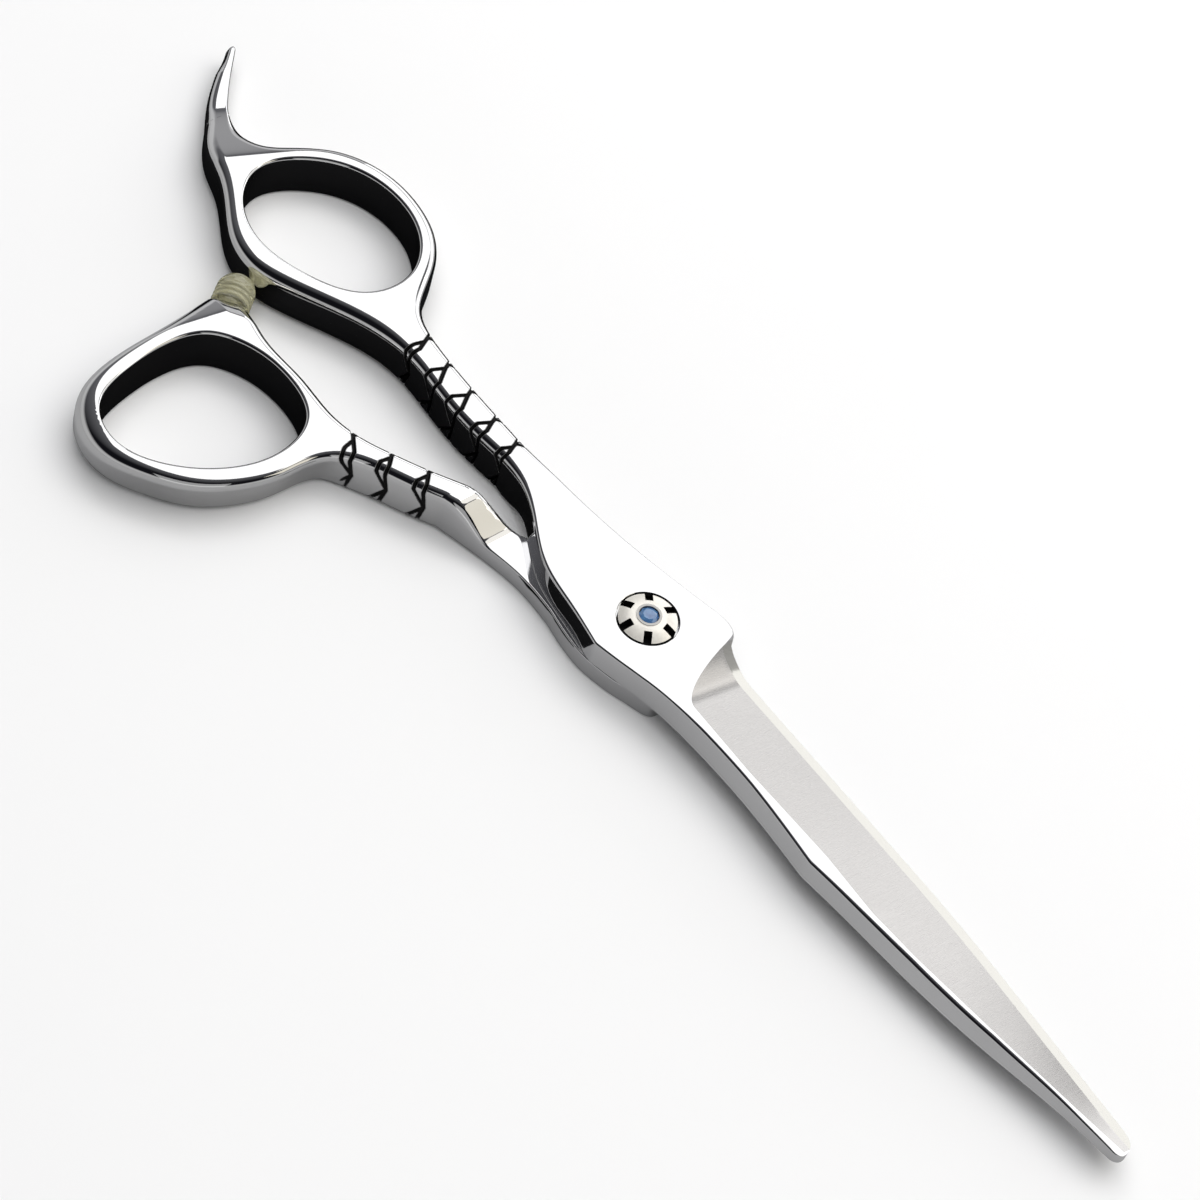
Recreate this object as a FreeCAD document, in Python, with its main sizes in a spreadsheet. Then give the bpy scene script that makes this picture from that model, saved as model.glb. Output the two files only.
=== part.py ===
import FreeCAD, Part
import math
import os

import Sketcher

# Thinning shears, millimetres.
# Origin: pivot axis at the flat back of the comb half. +X runs to the blade tips, +Y to the finger-ring side,
# +Z from the comb half up to the plain half. Two crossed halves turn on a barrel nut and a tension screw.

V = FreeCAD.Vector
os.makedirs("parts", exist_ok=True)
doc = FreeCAD.newDocument("thinning_shears")

# ---------------------------------------------------------------------------------------------
# Driving dimensions
# ---------------------------------------------------------------------------------------------
SIZES = {
    "thickness": 6.30,          # both halves at the pivot, and each handle
    "comb_top": 2.80,           # ride face of the comb half
    "plain_floor": 2.86,        # ride face of the plain half
    "plain_seam": -26.5,        # weld between plain blade and finger handle
    "comb_seam": -25.5,         # weld between comb blade and thumb handle
    "rest_seam": -86.5,         # joint between finger ring and finger rest
    "ramp_end": -18.6,          # where each shank reaches half thickness
    "shoulder_x": 8.3,          # front of the bolsters
    "kink_x": 50.0,             # where the spine's flat strip runs out
    "loft_end": 82.0,           # past the blade tips
    "heel_thick": 6.30,         # spine height at the shoulder
    "kink_thick": 5.05,         # spine height at the kink
    "tip_thick": 4.20,          # spine height at the tip
    "edge_land": 3.00,          # height of the cutting edge
    "tooth_count": 30,
    "tooth_first": 11.4,        # centre of the first tooth
    "tooth_pitch": 2.15,
    "tooth_gap": 0.95,
    "tooth_notch": 0.45,        # depth of the hair notch in each tooth's end
    "ring_round": 1.20,         # rounding of the handles' outer edges
    "hole_round": 0.55,         # rounding of the finger holes' edges
    "tang_floor": 0.90,
    "tang_rise": 4.00,
    "nut_flange_radius": 3.30,
    "nut_flange_thick": 0.80,
    "nut_seat_radius": 2.20,
    "nut_journal_radius": 1.78,
    "nut_top": 4.30,
    "nut_thread_radius": 1.47,
    "nut_thread_floor": 0.60,
    "bush_radius": 2.30,
    "bush_bore": 1.80,
    "glide_recess_radius": 4.45,
    "glide_recess_top": 3.22,
    "glide_radius": 4.40,
    "glide_bore": 2.35,
    "glide_floor": 2.83,
    "glide_thick": 0.36,
    "head_well_radius": 3.65,
    "head_well_floor": 4.35,
    "spring_radius": 3.30,
    "spring_bore": 1.95,
    "spring_floor": 4.36,
    "spring_plate": 0.12,
    "spring_dish": 0.20,
    "washer_radius": 3.35,
    "washer_bore": 1.60,
    "washer_floor": 4.70,
    "washer_thick": 0.28,
    "head_radius": 3.45,
    "head_floor": 5.00,
    "head_dome": 0.70,
    "shank_radius": 1.45,
    "shank_floor": 0.80,
    "notch_count": 6,
    "notch_width": 0.95,
    "notch_length": 1.30,
    "notch_tall": 0.90,         # depth of the notches below the head's rim
    "notch_phase": 19.6,
    "bezel_radius": 1.50,
    "bezel_bore": 1.20,
    "bezel_floor": 6.40,
    "bezel_tall": 0.72,
    "stone_table": 0.72,        # radius of the stone's top facet
    "stone_culet": 0.12,        # radius of its lowest facet
    "stone_pavilion": 0.45,
    "stone_crown": 0.35,
    "bumper_radius": 2.40,
    "bumper_barrel": 2.28,      # straight part, base to the centre of the dome
    "bumper_groove": 0.22,
    "bumper_heading": 126.5,    # direction in plan, degrees from +X
    "bumper_x": -62.20,
    "bumper_y": -13.10,
    "stem_radius": 0.98,
    "stem_long": 3.00,
    "socket_radius": 1.00,
    "stud_radius": 1.00,
    "stud_long": 4.00,
    "stud_socket_radius": 1.03,
    "blind_room": 0.20,         # space left past a stud in its hole
    "drill_start": 0.50,        # how far outside a face each small drill starts
}

sheet = doc.addObject("Spreadsheet::Sheet", "sizes")
for row, (alias, value) in enumerate(SIZES.items(), start=1):
    sheet.set(f"A{row}", alias)
    sheet.set(f"B{row}", str(value))
    sheet.setAlias(f"B{row}", alias)
doc.recompute()


def size(alias):
    """Read one driving dimension from the sheet."""
    return float(sheet.get(alias))


# ---------------------------------------------------------------------------------------------
# Helpers
# ---------------------------------------------------------------------------------------------
def new_body(label):
    """Start the PartDesign body of one sub-part."""
    body = doc.addObject("PartDesign::Body", label)
    body.Label = label
    return body


def plane_of(body, role):
    """Find one of a body's own origin planes or axes."""
    for feature in body.Origin.OriginFeatures:
        if feature.Role == role:
            return feature
    raise ValueError(role)


def new_sketch(body, name, role="XY_Plane", offset=None):
    """Attach a sketch to an origin plane, lifted along its normal by an expression."""
    sketch = body.newObject("Sketcher::SketchObject", name)
    sketch.AttachmentSupport = (plane_of(body, role), [""])
    sketch.MapMode = "FlatFace"
    if offset is not None:
        sketch.setExpression("AttachmentOffset.Base.z", offset)
    return sketch


def points_of(pairs):
    """Turn (x, y) pairs into vectors in a sketch's plane."""
    return [V(x, y, 0) for x, y in pairs]


def add_polygon(sketch, pairs):
    """Draw a closed outline of straight lines."""
    corners = points_of(pairs)
    for start, end in zip(corners, corners[1:] + corners[:1]):
        sketch.addGeometry(Part.LineSegment(start, end), False)


def add_path(sketch, runs):
    """Draw a closed outline of runs: each is ("curve" or "lines", pairs), joined end to start."""
    for index, (kind, pairs) in enumerate(runs):
        joint = runs[(index + 1) % len(runs)][1][0]
        corners = points_of(pairs + [joint])
        if kind == "curve":
            curve = Part.BSplineCurve()
            curve.interpolate(corners)
            sketch.addGeometry(curve, False)
            continue
        for start, end in zip(corners, corners[1:]):
            sketch.addGeometry(Part.LineSegment(start, end), False)


def add_loop(sketch, pairs):
    """Draw a smooth closed outline through the given points."""
    curve = Part.BSplineCurve()
    curve.interpolate(points_of(pairs), PeriodicFlag=True)
    sketch.addGeometry(curve, False)


def add_circle(sketch, radius):
    """Draw a circle on the pivot axis, its radius bound to the sheet."""
    index = sketch.addGeometry(Part.Circle(V(0, 0, 0), V(0, 0, 1), size(radius)), False)
    sketch.addConstraint(Sketcher.Constraint("Coincident", index, 3, -1, 1))
    radius_rule = sketch.addConstraint(Sketcher.Constraint("Radius", index, size(radius)))
    sketch.setExpression(f"Constraints[{radius_rule}]", f"sizes.{radius}")


def pad(body, sketch, name, length):
    """Extrude a sketch along its plane's normal."""
    feature = body.newObject("PartDesign::Pad", name)
    feature.Profile = sketch
    feature.setExpression("Length", length)
    doc.recompute()
    return feature


def cut_by(body, feature):
    """Recompute, and make sure that a cutting feature removed some material."""
    before = feature.BaseFeature.Shape.Volume
    doc.recompute()
    if feature.Shape.Volume > before - 1e-4:
        raise RuntimeError(f"{feature.Name} cuts nothing")
    return feature


def pocket(body, sketch, name, length=None, reverse=False, both_ways=False):
    """Cut a sketch into the solid, along or against its plane's normal."""
    feature = body.newObject("PartDesign::Pocket", name)
    feature.Profile = sketch
    feature.Reversed = reverse
    feature.Midplane = both_ways
    feature.setExpression("Length", length)
    return cut_by(body, feature)


def loft_cut(body, name, sketches):
    """Cut the straight-sided loft between sketches on parallel planes."""
    feature = body.newObject("PartDesign::SubtractiveLoft", name)
    feature.Profile = sketches[0]
    feature.Sections = sketches[1:]
    feature.Ruled = True
    return cut_by(body, feature)


def rod_cut(body, name, mouth, inward, radius, length):
    """Drill a blind hole from its mouth, the drill starting clear of the face."""
    start = mouth - inward * size("drill_start")
    feature = body.newObject("PartDesign::SubtractiveCylinder", name)
    feature.AttachmentSupport = (plane_of(body, "XY_Plane"), [""])
    feature.MapMode = "FlatFace"
    feature.AttachmentOffset = FreeCAD.Placement(start, FreeCAD.Rotation(V(0, 0, 1), inward))
    feature.setExpression("Radius", radius)
    feature.setExpression("Height", f"{length} + sizes.drill_start")
    return cut_by(body, feature)


def rim_edges(shape, inner, shortest):
    """Name a padded solid's edges in its top and bottom faces: the hole's, or each side's in turn."""
    heights = [vertex.Z for vertex in shape.Vertexes]
    sides = {}
    for index, edge in enumerate(shape.Edges, start=1):
        span = edge.BoundBox
        gap = min(abs(span.ZMin - min(heights)), abs(span.ZMax - max(heights)))
        level = span.ZLength < 1e-3 and gap < 1e-3
        if level and span.XLength > 0.1 and edge.Length > shortest and edge.isClosed() == inner:
            sides.setdefault(round(span.YMin + span.YMax), []).append(f"Edge{index}")
    return [sides[key] for key in sorted(sides)]


def round_rims(body, name, base, inner, radius, shortest=5.0):
    """Round a handle's long edges, one side after the other."""
    feature = base
    for number in range(len(rim_edges(base.Shape, inner, shortest))):
        rounded = body.newObject("PartDesign::Fillet", f"{name}_{number + 1}")
        rounded.Base = (feature, rim_edges(feature.Shape, inner, shortest)[number])
        rounded.setExpression("Radius", radius)
        doc.recompute()
        feature = rounded
    return feature


def cylinder(name, radius, floor, height):
    """Make a cylinder on the pivot axis from sheet expressions."""
    solid = doc.addObject("Part::Cylinder", name)
    solid.setExpression("Radius", radius)
    solid.setExpression("Height", height)
    solid.setExpression("Placement.Base.z", floor)
    return solid


def cone(name, low_radius, high_radius, floor, height):
    """Make a cone on the pivot axis from sheet expressions."""
    solid = doc.addObject("Part::Cone", name)
    solid.setExpression("Radius1", low_radius)
    solid.setExpression("Radius2", high_radius)
    solid.setExpression("Height", height)
    solid.setExpression("Placement.Base.z", floor)
    return solid


def joined(kind, label, base, tool):
    """Combine two solids: kind is Cut or Fuse."""
    result = doc.addObject(f"Part::{kind}", label)
    result.Label = label
    result.Base = base
    result.Tool = tool
    return result


def ring(label, radius, bore, floor, height):
    """Make a plain washer or sleeve."""
    outside = cylinder(f"{label}_outside", radius, floor, height)
    inside = cylinder(f"{label}_inside", bore, floor, height)
    return joined("Cut", label, outside, inside)


# ---------------------------------------------------------------------------------------------
# Plain half: upper blade, finger ring, finger rest
# ---------------------------------------------------------------------------------------------
PLAIN_NECK_NEAR = (size("plain_seam"), -0.3)
PLAIN_NECK_FAR = (size("plain_seam"), 3.4)
REST_NEAR = (size("rest_seam"), 0.7)
REST_FAR = (size("rest_seam"), 4.2)


def make_plain_blade():
    """Upper blade: a flat bolster, a sloping grind with a bevelled straight edge, and a kinked spine."""
    body = new_body("plain_blade")
    outline = new_sketch(body, "plain_outline")
    add_path(outline, [
        ("curve", [PLAIN_NECK_NEAR, (-23.6, -0.5), (-18.2, -2.6), (-12.1, -5.6), (-6.0, -6.6)]),
        ("curve", [(-0.4, -7.5), (2.5, -6.8), (8.0, -5.4), (15.0, -4.6), (24.0, -4.4)]),
        ("lines", [(34.5, -5.0)]),
        ("curve", [(38.0, -4.6), (50.0, -3.6), (62.0, -2.0), (72.0, -0.1)]),
        ("curve", [(80.0, 1.1), (80.5, 2.0), (80.0, 3.5)]),
        ("curve", [(78.7, 4.5), (70.0, 5.1), (61.8, 5.6), (51.0, 6.2)]),
        ("lines", [(43.0, 6.4), (8.3, 6.4)]),
        ("curve", [(7.5, 6.5), (6.6, 7.4), (5.2, 7.8)]),
        ("curve", [(3.8, 7.7), (-3.2, 6.1), (-14.2, 4.2)]),
        ("lines", [PLAIN_NECK_FAR]),
    ])
    pad(body, outline, "plain_stock", "sizes.thickness")

    underside = new_sketch(body, "plain_underside", "XZ_Plane")
    floor, seam, ramp, end = (size(name) for name in ("plain_floor", "plain_seam", "ramp_end", "loft_end"))
    add_polygon(underside, [(seam + 1, -1), (seam + 1, 0), (ramp, floor), (end, floor), (end, -1)])
    pocket(body, underside, "plain_ride_face", "40 mm", both_ways=True)

    stations = [
        ("shoulder", "heel_thick", -3.1, (4.9, 3.75), 6.7),
        ("kink", "kink_thick", -3.5, (4.7, 3.60), 6.5),
        ("end", "tip_thick", 1.1, (3.4, 3.30), 4.9),
    ]
    places = {"shoulder": "shoulder_x", "kink": "kink_x", "end": "loft_end"}
    sections = []
    for name, top, strip_y, bevel, edge_y in stations:
        section = new_sketch(body, f"grind_{name}", "YZ_Plane", f"sizes.{places[name]}")
        height = size(top)
        add_polygon(section, [(-12, height), (strip_y, height), bevel, (edge_y, size("edge_land")),
                              (12, size("edge_land")), (12, 9), (-12, 9)])
        sections.append(section)
    loft_cut(body, "plain_grind", sections)

    well = new_sketch(body, "head_well_circle", offset="sizes.thickness")
    add_circle(well, "head_well_radius")
    pocket(body, well, "head_well", "sizes.thickness - sizes.head_well_floor")
    bore = new_sketch(body, "bush_bore_circle", offset="sizes.thickness")
    add_circle(bore, "bush_radius")
    pocket(body, bore, "bush_seat", "sizes.thickness")
    recess = new_sketch(body, "glide_circle", offset="sizes.glide_recess_top")
    add_circle(recess, "glide_recess_radius")
    pocket(body, recess, "glide_recess", "sizes.glide_recess_top")
    return body


def make_finger_handle():
    """Upper shank and finger ring, with the stub that the finger rest screws into."""
    body = new_body("finger_handle")
    outline = new_sketch(body, "finger_outline")
    add_path(outline, [
        ("curve", [REST_NEAR, (-82.6, -2.2), (-78.4, -3.6), (-74.0, -5.8), (-69.5, -8.1), (-64.5, -8.6),
                   (-60.0, -7.0), (-55.0, -4.3), (-50.0, -1.9), (-45.0, -0.7), (-38.0, -0.9), (-32.0, -0.9)]),
        ("lines", [PLAIN_NECK_NEAR]),
        ("curve", [PLAIN_NECK_FAR, (-32.0, 3.3), (-38.0, 3.3), (-45.0, 3.8), (-48.8, 5.0), (-51.4, 7.6),
                   (-54.3, 11.2), (-57.6, 13.6), (-61.8, 14.8), (-66.5, 14.8), (-71.2, 13.3), (-75.0, 10.4),
                   (-77.6, 6.9), (-79.8, 4.1), (-83.2, 3.3)]),
        ("lines", [REST_FAR]),
    ])
    add_loop(outline, [(-76.1, 0.8), (-74.6, 6.5), (-70.2, 10.9), (-64.7, 12.6), (-58.0, 11.2), (-53.8, 5.9),
                       (-54.5, 0.7), (-60.0, -3.7), (-67.7, -5.5), (-74.3, -2.5)])
    stock = pad(body, outline, "finger_stock", "sizes.thickness")
    rounded = round_rims(body, "finger_round", stock, False, "sizes.ring_round")
    round_rims(body, "finger_hole_round", rounded, True, "sizes.hole_round")
    middle = (REST_NEAR[1] + REST_FAR[1]) / 2
    mouth = V(size("rest_seam"), middle, size("tang_floor") + size("tang_rise") / 2)
    rod_cut(body, "rest_socket", mouth, V(1, 0, 0), "sizes.stud_socket_radius", "sizes.stud_long + sizes.blind_room")
    return body


def make_finger_rest():
    """Curved tang for the little finger, with a stud into the ring."""
    body = new_body("finger_rest")
    outline = new_sketch(body, "rest_outline", offset="sizes.tang_floor")
    add_path(outline, [
        ("curve", [REST_NEAR, (-89.0, 2.7), (-91.2, 4.8), (-93.2, 7.1)]),
        ("curve", [(-95.2, 9.9), (-95.7, 11.0), (-94.9, 11.2)]),
        ("curve", [(-92.9, 9.3), (-90.7, 7.3), (-88.6, 5.6)]),
        ("lines", [REST_FAR]),
    ])
    pad(body, outline, "rest_stock", "sizes.tang_rise")
    stud = body.newObject("PartDesign::AdditiveCylinder", "rest_stud")
    stud.AttachmentSupport = (plane_of(body, "XY_Plane"), [""])
    stud.MapMode = "FlatFace"
    middle = (REST_NEAR[1] + REST_FAR[1]) / 2
    root = V(size("rest_seam"), middle, size("tang_floor") + size("tang_rise") / 2)
    stud.AttachmentOffset = FreeCAD.Placement(root, FreeCAD.Rotation(V(0, 1, 0), 90))
    stud.setExpression("Radius", "sizes.stud_radius")
    stud.setExpression("Height", "sizes.stud_long")
    return body


# ---------------------------------------------------------------------------------------------
# Comb half: lower blade, thumb ring, bumper
# ---------------------------------------------------------------------------------------------
COMB_NECK_NEAR = (size("comb_seam"), -9.9)
COMB_NECK_FAR = (size("comb_seam"), -5.8)
COMB_KINK = 46.0
COMB_END = 78.5


def tooth_tip(x):
    """Line of the teeth's ends, straight and then rising to the point."""
    return -3.5 + 5.2 * max(0.0, x - COMB_KINK) / (COMB_END - COMB_KINK)


def tooth_root(x):
    """Line of the gaps' bottoms."""
    return 0.9 + 1.9 * max(0.0, x - COMB_KINK) / (COMB_END - COMB_KINK)


def comb_edge():
    """Outline of the teeth, from heel to point: two flanks, two tips and a hair notch each."""
    corners = []
    pitch, gap = size("tooth_pitch"), size("tooth_gap")
    half = (pitch - gap) / 2
    for number in range(int(size("tooth_count"))):
        middle = size("tooth_first") + number * pitch
        left, right = middle - half, middle + half
        corners.append((left, tooth_root(left)))
        corners.append((left, tooth_tip(left)))
        corners.append((left + half / 2, tooth_tip(left)))
        corners.append((middle, tooth_tip(middle) + size("tooth_notch")))
        corners.append((right - half / 2, tooth_tip(right)))
        corners.append((right, tooth_tip(right)))
        corners.append((right, tooth_root(right)))
    return corners


def make_comb_blade():
    """Lower blade: bolster, straight back and a comb of notched teeth, thinned towards their ends."""
    body = new_body("comb_blade")
    outline = new_sketch(body, "comb_outline")
    add_path(outline, [
        ("curve", [COMB_NECK_NEAR, (-19.6, -8.0), (-13.3, -6.8), (-8.1, -6.9)]),
        ("curve", [(-1.6, -7.5), (3.0, -6.6)]),
        ("curve", [(6.4, -5.4), (7.9, -4.6), (8.3, -3.6)]),
        ("lines", [(8.6, -2.6), (9.9, -2.6), (9.9, 0.9)] + comb_edge() + [(76.0, 2.7), (76.1, 1.6)]),
        ("curve", [(78.0, 1.9), (79.0, 2.5), (78.4, 3.3)]),
        ("curve", [(76.0, 3.7), (66.0, 4.4), (57.0, 4.9), (46.0, 5.4)]),
        ("lines", [(12.0, 5.4)]),
        ("curve", [(3.0, 5.0), (-4.0, 4.3), (-9.0, 2.6), (-14.0, -0.6), (-18.0, -3.0), (-21.5, -4.4)]),
        ("lines", [COMB_NECK_FAR]),
    ])
    pad(body, outline, "comb_stock", "sizes.thickness")

    topside = new_sketch(body, "comb_topside", "XZ_Plane")
    top, seam, ramp, end = (size(name) for name in ("comb_top", "comb_seam", "ramp_end", "loft_end"))
    above = size("thickness") + 1
    add_polygon(topside, [(seam + 1, above), (seam + 1, above - 1), (ramp, top), (end, top), (end, above)])
    pocket(body, topside, "comb_ride_face", "40 mm", both_ways=True)

    stations = [
        ("shoulder", "shoulder_x", 0.0, 4.0, (-2.4, 1.5)),
        ("kink", "kink_x", 0.7, 3.6, (-2.0, 1.6)),
        ("end", "loft_end", 1.5, 3.2, (1.4, 2.1)),
    ]
    sections = []
    for name, place, height, flat_y, bevel in stations:
        section = new_sketch(body, f"comb_grind_{name}", "YZ_Plane", f"sizes.{place}")
        add_polygon(section, [(12, height), (flat_y, height), bevel, (bevel[0] - 1.6, 2.35),
                              (-12, 2.35), (-12, -4), (12, -4)])
        sections.append(section)
    loft_cut(body, "comb_grind", sections)

    flange = new_sketch(body, "flange_circle", offset="sizes.nut_flange_thick")
    add_circle(flange, "nut_flange_radius")
    pocket(body, flange, "flange_well", "sizes.nut_flange_thick")
    seat = new_sketch(body, "seat_circle", offset="sizes.comb_top")
    add_circle(seat, "nut_seat_radius")
    pocket(body, seat, "barrel_seat", "sizes.comb_top")
    return body


def bumper_frame():
    """Heading of the bumper's axis, as a rotation of +Z, and the centre of its base."""
    heading = math.radians(size("bumper_heading"))
    along = V(math.cos(heading), math.sin(heading), 0)
    base = V(size("bumper_x"), size("bumper_y"), size("thickness") / 2)
    return base, along


def make_thumb_handle():
    """Lower shank and thumb ring, with a boss that carries the bumper."""
    body = new_body("thumb_handle")
    base, along = bumper_frame()
    across = V(along.y, -along.x, 0)
    left = base - across * 2.15
    right = base + across * 2.15
    outline = new_sketch(body, "thumb_outline")
    add_path(outline, [
        ("curve", [COMB_NECK_NEAR, (-28.8, -11.9), (-32.4, -13.8), (-35.4, -16.0), (-36.9, -18.9),
                   (-37.2, -23.4), (-38.2, -28.3), (-41.2, -33.9), (-45.2, -37.4), (-50.6, -39.9),
                   (-55.4, -39.4), (-59.2, -36.6), (-61.2, -31.4), (-62.0, -26.0), (-62.4, -19.8)]),
        ("lines", [(left.x, left.y)]),
        ("curve", [(right.x, right.y), (-57.6, -12.9), (-54.0, -13.5), (-48.0, -13.2), (-41.5, -13.3),
                   (-37.2, -12.4), (-33.7, -10.7), (-29.6, -8.4)]),
        ("lines", [COMB_NECK_FAR]),
    ])
    add_loop(outline, [(-58.3, -19.4), (-55.5, -16.9), (-48.5, -15.1), (-42.9, -16.6), (-40.3, -22.2),
                       (-41.3, -28.2), (-45.2, -34.1), (-50.8, -37.3), (-55.6, -36.2), (-58.7, -29.9),
                       (-59.4, -24.1)])
    stock = pad(body, outline, "thumb_stock", "sizes.thickness")
    rounded = round_rims(body, "thumb_round", stock, False, "sizes.ring_round")
    round_rims(body, "thumb_hole_round", rounded, True, "sizes.hole_round")
    rod_cut(body, "bumper_socket", base, -along, "sizes.socket_radius", "sizes.stem_long + sizes.blind_room")
    return body


def make_bumper():
    """Silencer plug: two ribs, a domed end and a stem into the thumb ring's boss."""
    body = new_body("bumper")
    radius, barrel, groove = size("bumper_radius"), size("bumper_barrel"), size("bumper_groove")
    stem, sink = size("stem_radius"), -size("stem_long")
    profile = new_sketch(body, "bumper_profile", "XZ_Plane")
    rib = barrel / 5
    corners = [(0, sink), (stem, sink), (stem, 0), (radius - groove, 0)]
    for step in range(1, 5):
        corners.append((radius - groove * (step % 2 == 0), rib * step))
    corners.append((radius, barrel))
    for start, end in zip(corners, corners[1:]):
        profile.addGeometry(Part.LineSegment(V(start[0], start[1], 0), V(end[0], end[1], 0)), False)
    slant = radius * math.sqrt(0.5)
    dome = Part.Arc(V(radius, barrel, 0), V(slant, barrel + slant, 0), V(0, barrel + radius, 0))
    profile.addGeometry(dome, False)
    profile.addGeometry(Part.LineSegment(V(0, barrel + radius, 0), V(0, sink, 0)), False)
    turned = body.newObject("PartDesign::Revolution", "bumper_turned")
    turned.Profile = profile
    turned.ReferenceAxis = (profile, ["V_Axis"])
    turned.Angle = 360
    base, along = bumper_frame()
    body.Placement = FreeCAD.Placement(base, FreeCAD.Rotation(V(0, 0, 1), along))
    return body


# ---------------------------------------------------------------------------------------------
# Pivot
# ---------------------------------------------------------------------------------------------
def make_pivot_nut():
    """Stepped barrel nut: flange in the comb blade's back, seat, journal, and a blind threaded hole."""
    flange = cylinder("nut_flange", "sizes.nut_flange_radius", "0 mm", "sizes.nut_flange_thick")
    seat = cylinder("nut_seat", "sizes.nut_seat_radius", "0 mm", "sizes.comb_top")
    journal = cylinder("nut_journal", "sizes.nut_journal_radius", "0 mm", "sizes.nut_top")
    body = joined("Fuse", "nut_body", joined("Fuse", "nut_steps", flange, seat), journal)
    thread = cylinder("nut_thread", "sizes.nut_thread_radius", "sizes.nut_thread_floor", "sizes.nut_top")
    return joined("Cut", "pivot_nut", body, thread)


def make_pivot_bush():
    """Bearing sleeve in the plain blade, round the nut's journal."""
    return ring("pivot_bush", "sizes.bush_radius", "sizes.bush_bore", "sizes.plain_floor",
                "sizes.head_well_floor - sizes.plain_floor")


def make_glide_washer():
    """Thin washer in the plain blade's recess, which the comb half slides on."""
    return ring("glide_washer", "sizes.glide_radius", "sizes.glide_bore", "sizes.glide_floor",
                "sizes.glide_thick")


def make_spring_washer():
    """Dished spring washer at the bottom of the head's well."""
    rim = cylinder("spring_rim", "sizes.spring_radius", "sizes.spring_floor", "sizes.spring_plate")
    crown = cone("spring_crown", "sizes.spring_radius", "sizes.spring_bore",
                 "sizes.spring_floor + sizes.spring_plate", "sizes.spring_dish")
    hollow = cone("spring_hollow", "sizes.spring_radius", "sizes.spring_bore", "sizes.spring_floor",
                  "sizes.spring_dish")
    bore = cylinder("spring_hole", "sizes.spring_bore", "sizes.spring_floor", "1 mm")
    dished = joined("Cut", "spring_dished", joined("Fuse", "spring_solid", rim, crown), hollow)
    return joined("Cut", "spring_washer", dished, bore)


def make_head_washer():
    """Nylon washer under the screw's head."""
    return ring("head_washer", "sizes.washer_radius", "sizes.washer_bore", "sizes.washer_floor",
                "sizes.washer_thick")


def make_tension_screw():
    """Tension screw: plain shank, domed head with rim notches, and a seat for the stone's ring."""
    body = new_body("tension_screw")
    profile = new_sketch(body, "screw_profile", "XZ_Plane")
    shank, head, bezel = size("shank_radius"), size("head_radius"), size("bezel_radius")
    rim_top = size("thickness")
    crown = rim_top + size("head_dome")
    corners = [(bezel, crown), (bezel, size("bezel_floor")), (0, size("bezel_floor")),
               (0, size("shank_floor")), (shank, size("shank_floor")), (shank, size("head_floor")),
               (head, size("head_floor")), (head, rim_top)]
    for start, end in zip(corners, corners[1:]):
        profile.addGeometry(Part.LineSegment(V(start[0], start[1], 0), V(end[0], end[1], 0)), False)
    middle = V((head + bezel) / 2 + 0.12, rim_top + size("head_dome") * 0.62, 0)
    profile.addGeometry(Part.Arc(V(head, rim_top, 0), middle, V(bezel, crown, 0)), False)
    turned = body.newObject("PartDesign::Revolution", "screw_turned")
    turned.Profile = profile
    turned.ReferenceAxis = (profile, ["V_Axis"])
    turned.Angle = 360
    doc.recompute()

    slot = new_sketch(body, "notch_outline", offset="sizes.thickness + sizes.head_dome")
    half = size("notch_width") / 2
    inner, outer = head - size("notch_length"), head + 1
    phase = math.radians(size("notch_phase"))
    corners = []
    for radial, side in ((inner, -half), (outer, -half), (outer, half), (inner, half)):
        corners.append((radial * math.cos(phase) - side * math.sin(phase),
                        radial * math.sin(phase) + side * math.cos(phase)))
    add_polygon(slot, corners)
    notch = pocket(body, slot, "notch", "sizes.head_dome + sizes.notch_tall")
    notches = body.newObject("PartDesign::PolarPattern", "notches")
    notches.Originals = [notch]
    notches.Axis = (plane_of(body, "Z_Axis"), [""])
    notches.Angle = 360
    notches.setExpression("Occurrences", "sizes.notch_count")
    body.Tip = notches
    return body


def make_crystal_bezel():
    """Ring that holds the stone in the screw's head."""
    return ring("crystal_bezel", "sizes.bezel_radius", "sizes.bezel_bore", "sizes.bezel_floor",
                "sizes.bezel_tall")


def make_crystal():
    """Cut stone: a crown over a pointed pavilion."""
    girdle = "sizes.bezel_floor + sizes.stone_pavilion"
    crown = cone("stone_upper", "sizes.bezel_bore", "sizes.stone_table", girdle, "sizes.stone_crown")
    pavilion = cone("stone_lower", "sizes.stone_culet", "sizes.bezel_bore", "sizes.bezel_floor",
                    "sizes.stone_pavilion")
    return joined("Fuse", "crystal", crown, pavilion)


# ---------------------------------------------------------------------------------------------
# Build, check and export
# ---------------------------------------------------------------------------------------------
MAKERS = [make_plain_blade, make_finger_handle, make_finger_rest, make_comb_blade, make_thumb_handle,
          make_bumper, make_pivot_nut, make_pivot_bush, make_glide_washer, make_spring_washer,
          make_head_washer, make_tension_screw, make_crystal_bezel, make_crystal]
sub_parts = [make() for make in MAKERS]
doc.recompute()

for item in doc.Objects:
    if "Invalid" in item.State or "Error" in item.State:
        raise RuntimeError(f"{item.Name} failed: {item.State}")
for part in sub_parts:
    if part.Shape.isNull() or not part.Shape.isValid() or len(part.Shape.Solids) != 1:
        raise RuntimeError(f"{part.Label} is not one valid solid")

for part in sub_parts:
    part.Shape.exportStep(f"parts/{part.Label}.step")
    box = part.Shape.BoundBox
    print(f"{part.Label}: {part.Shape.Volume:.1f} mm3, x {box.XMin:.2f}..{box.XMax:.2f}, "
          f"y {box.YMin:.2f}..{box.YMax:.2f}, z {box.ZMin:.2f}..{box.ZMax:.2f}")
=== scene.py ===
import math

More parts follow.
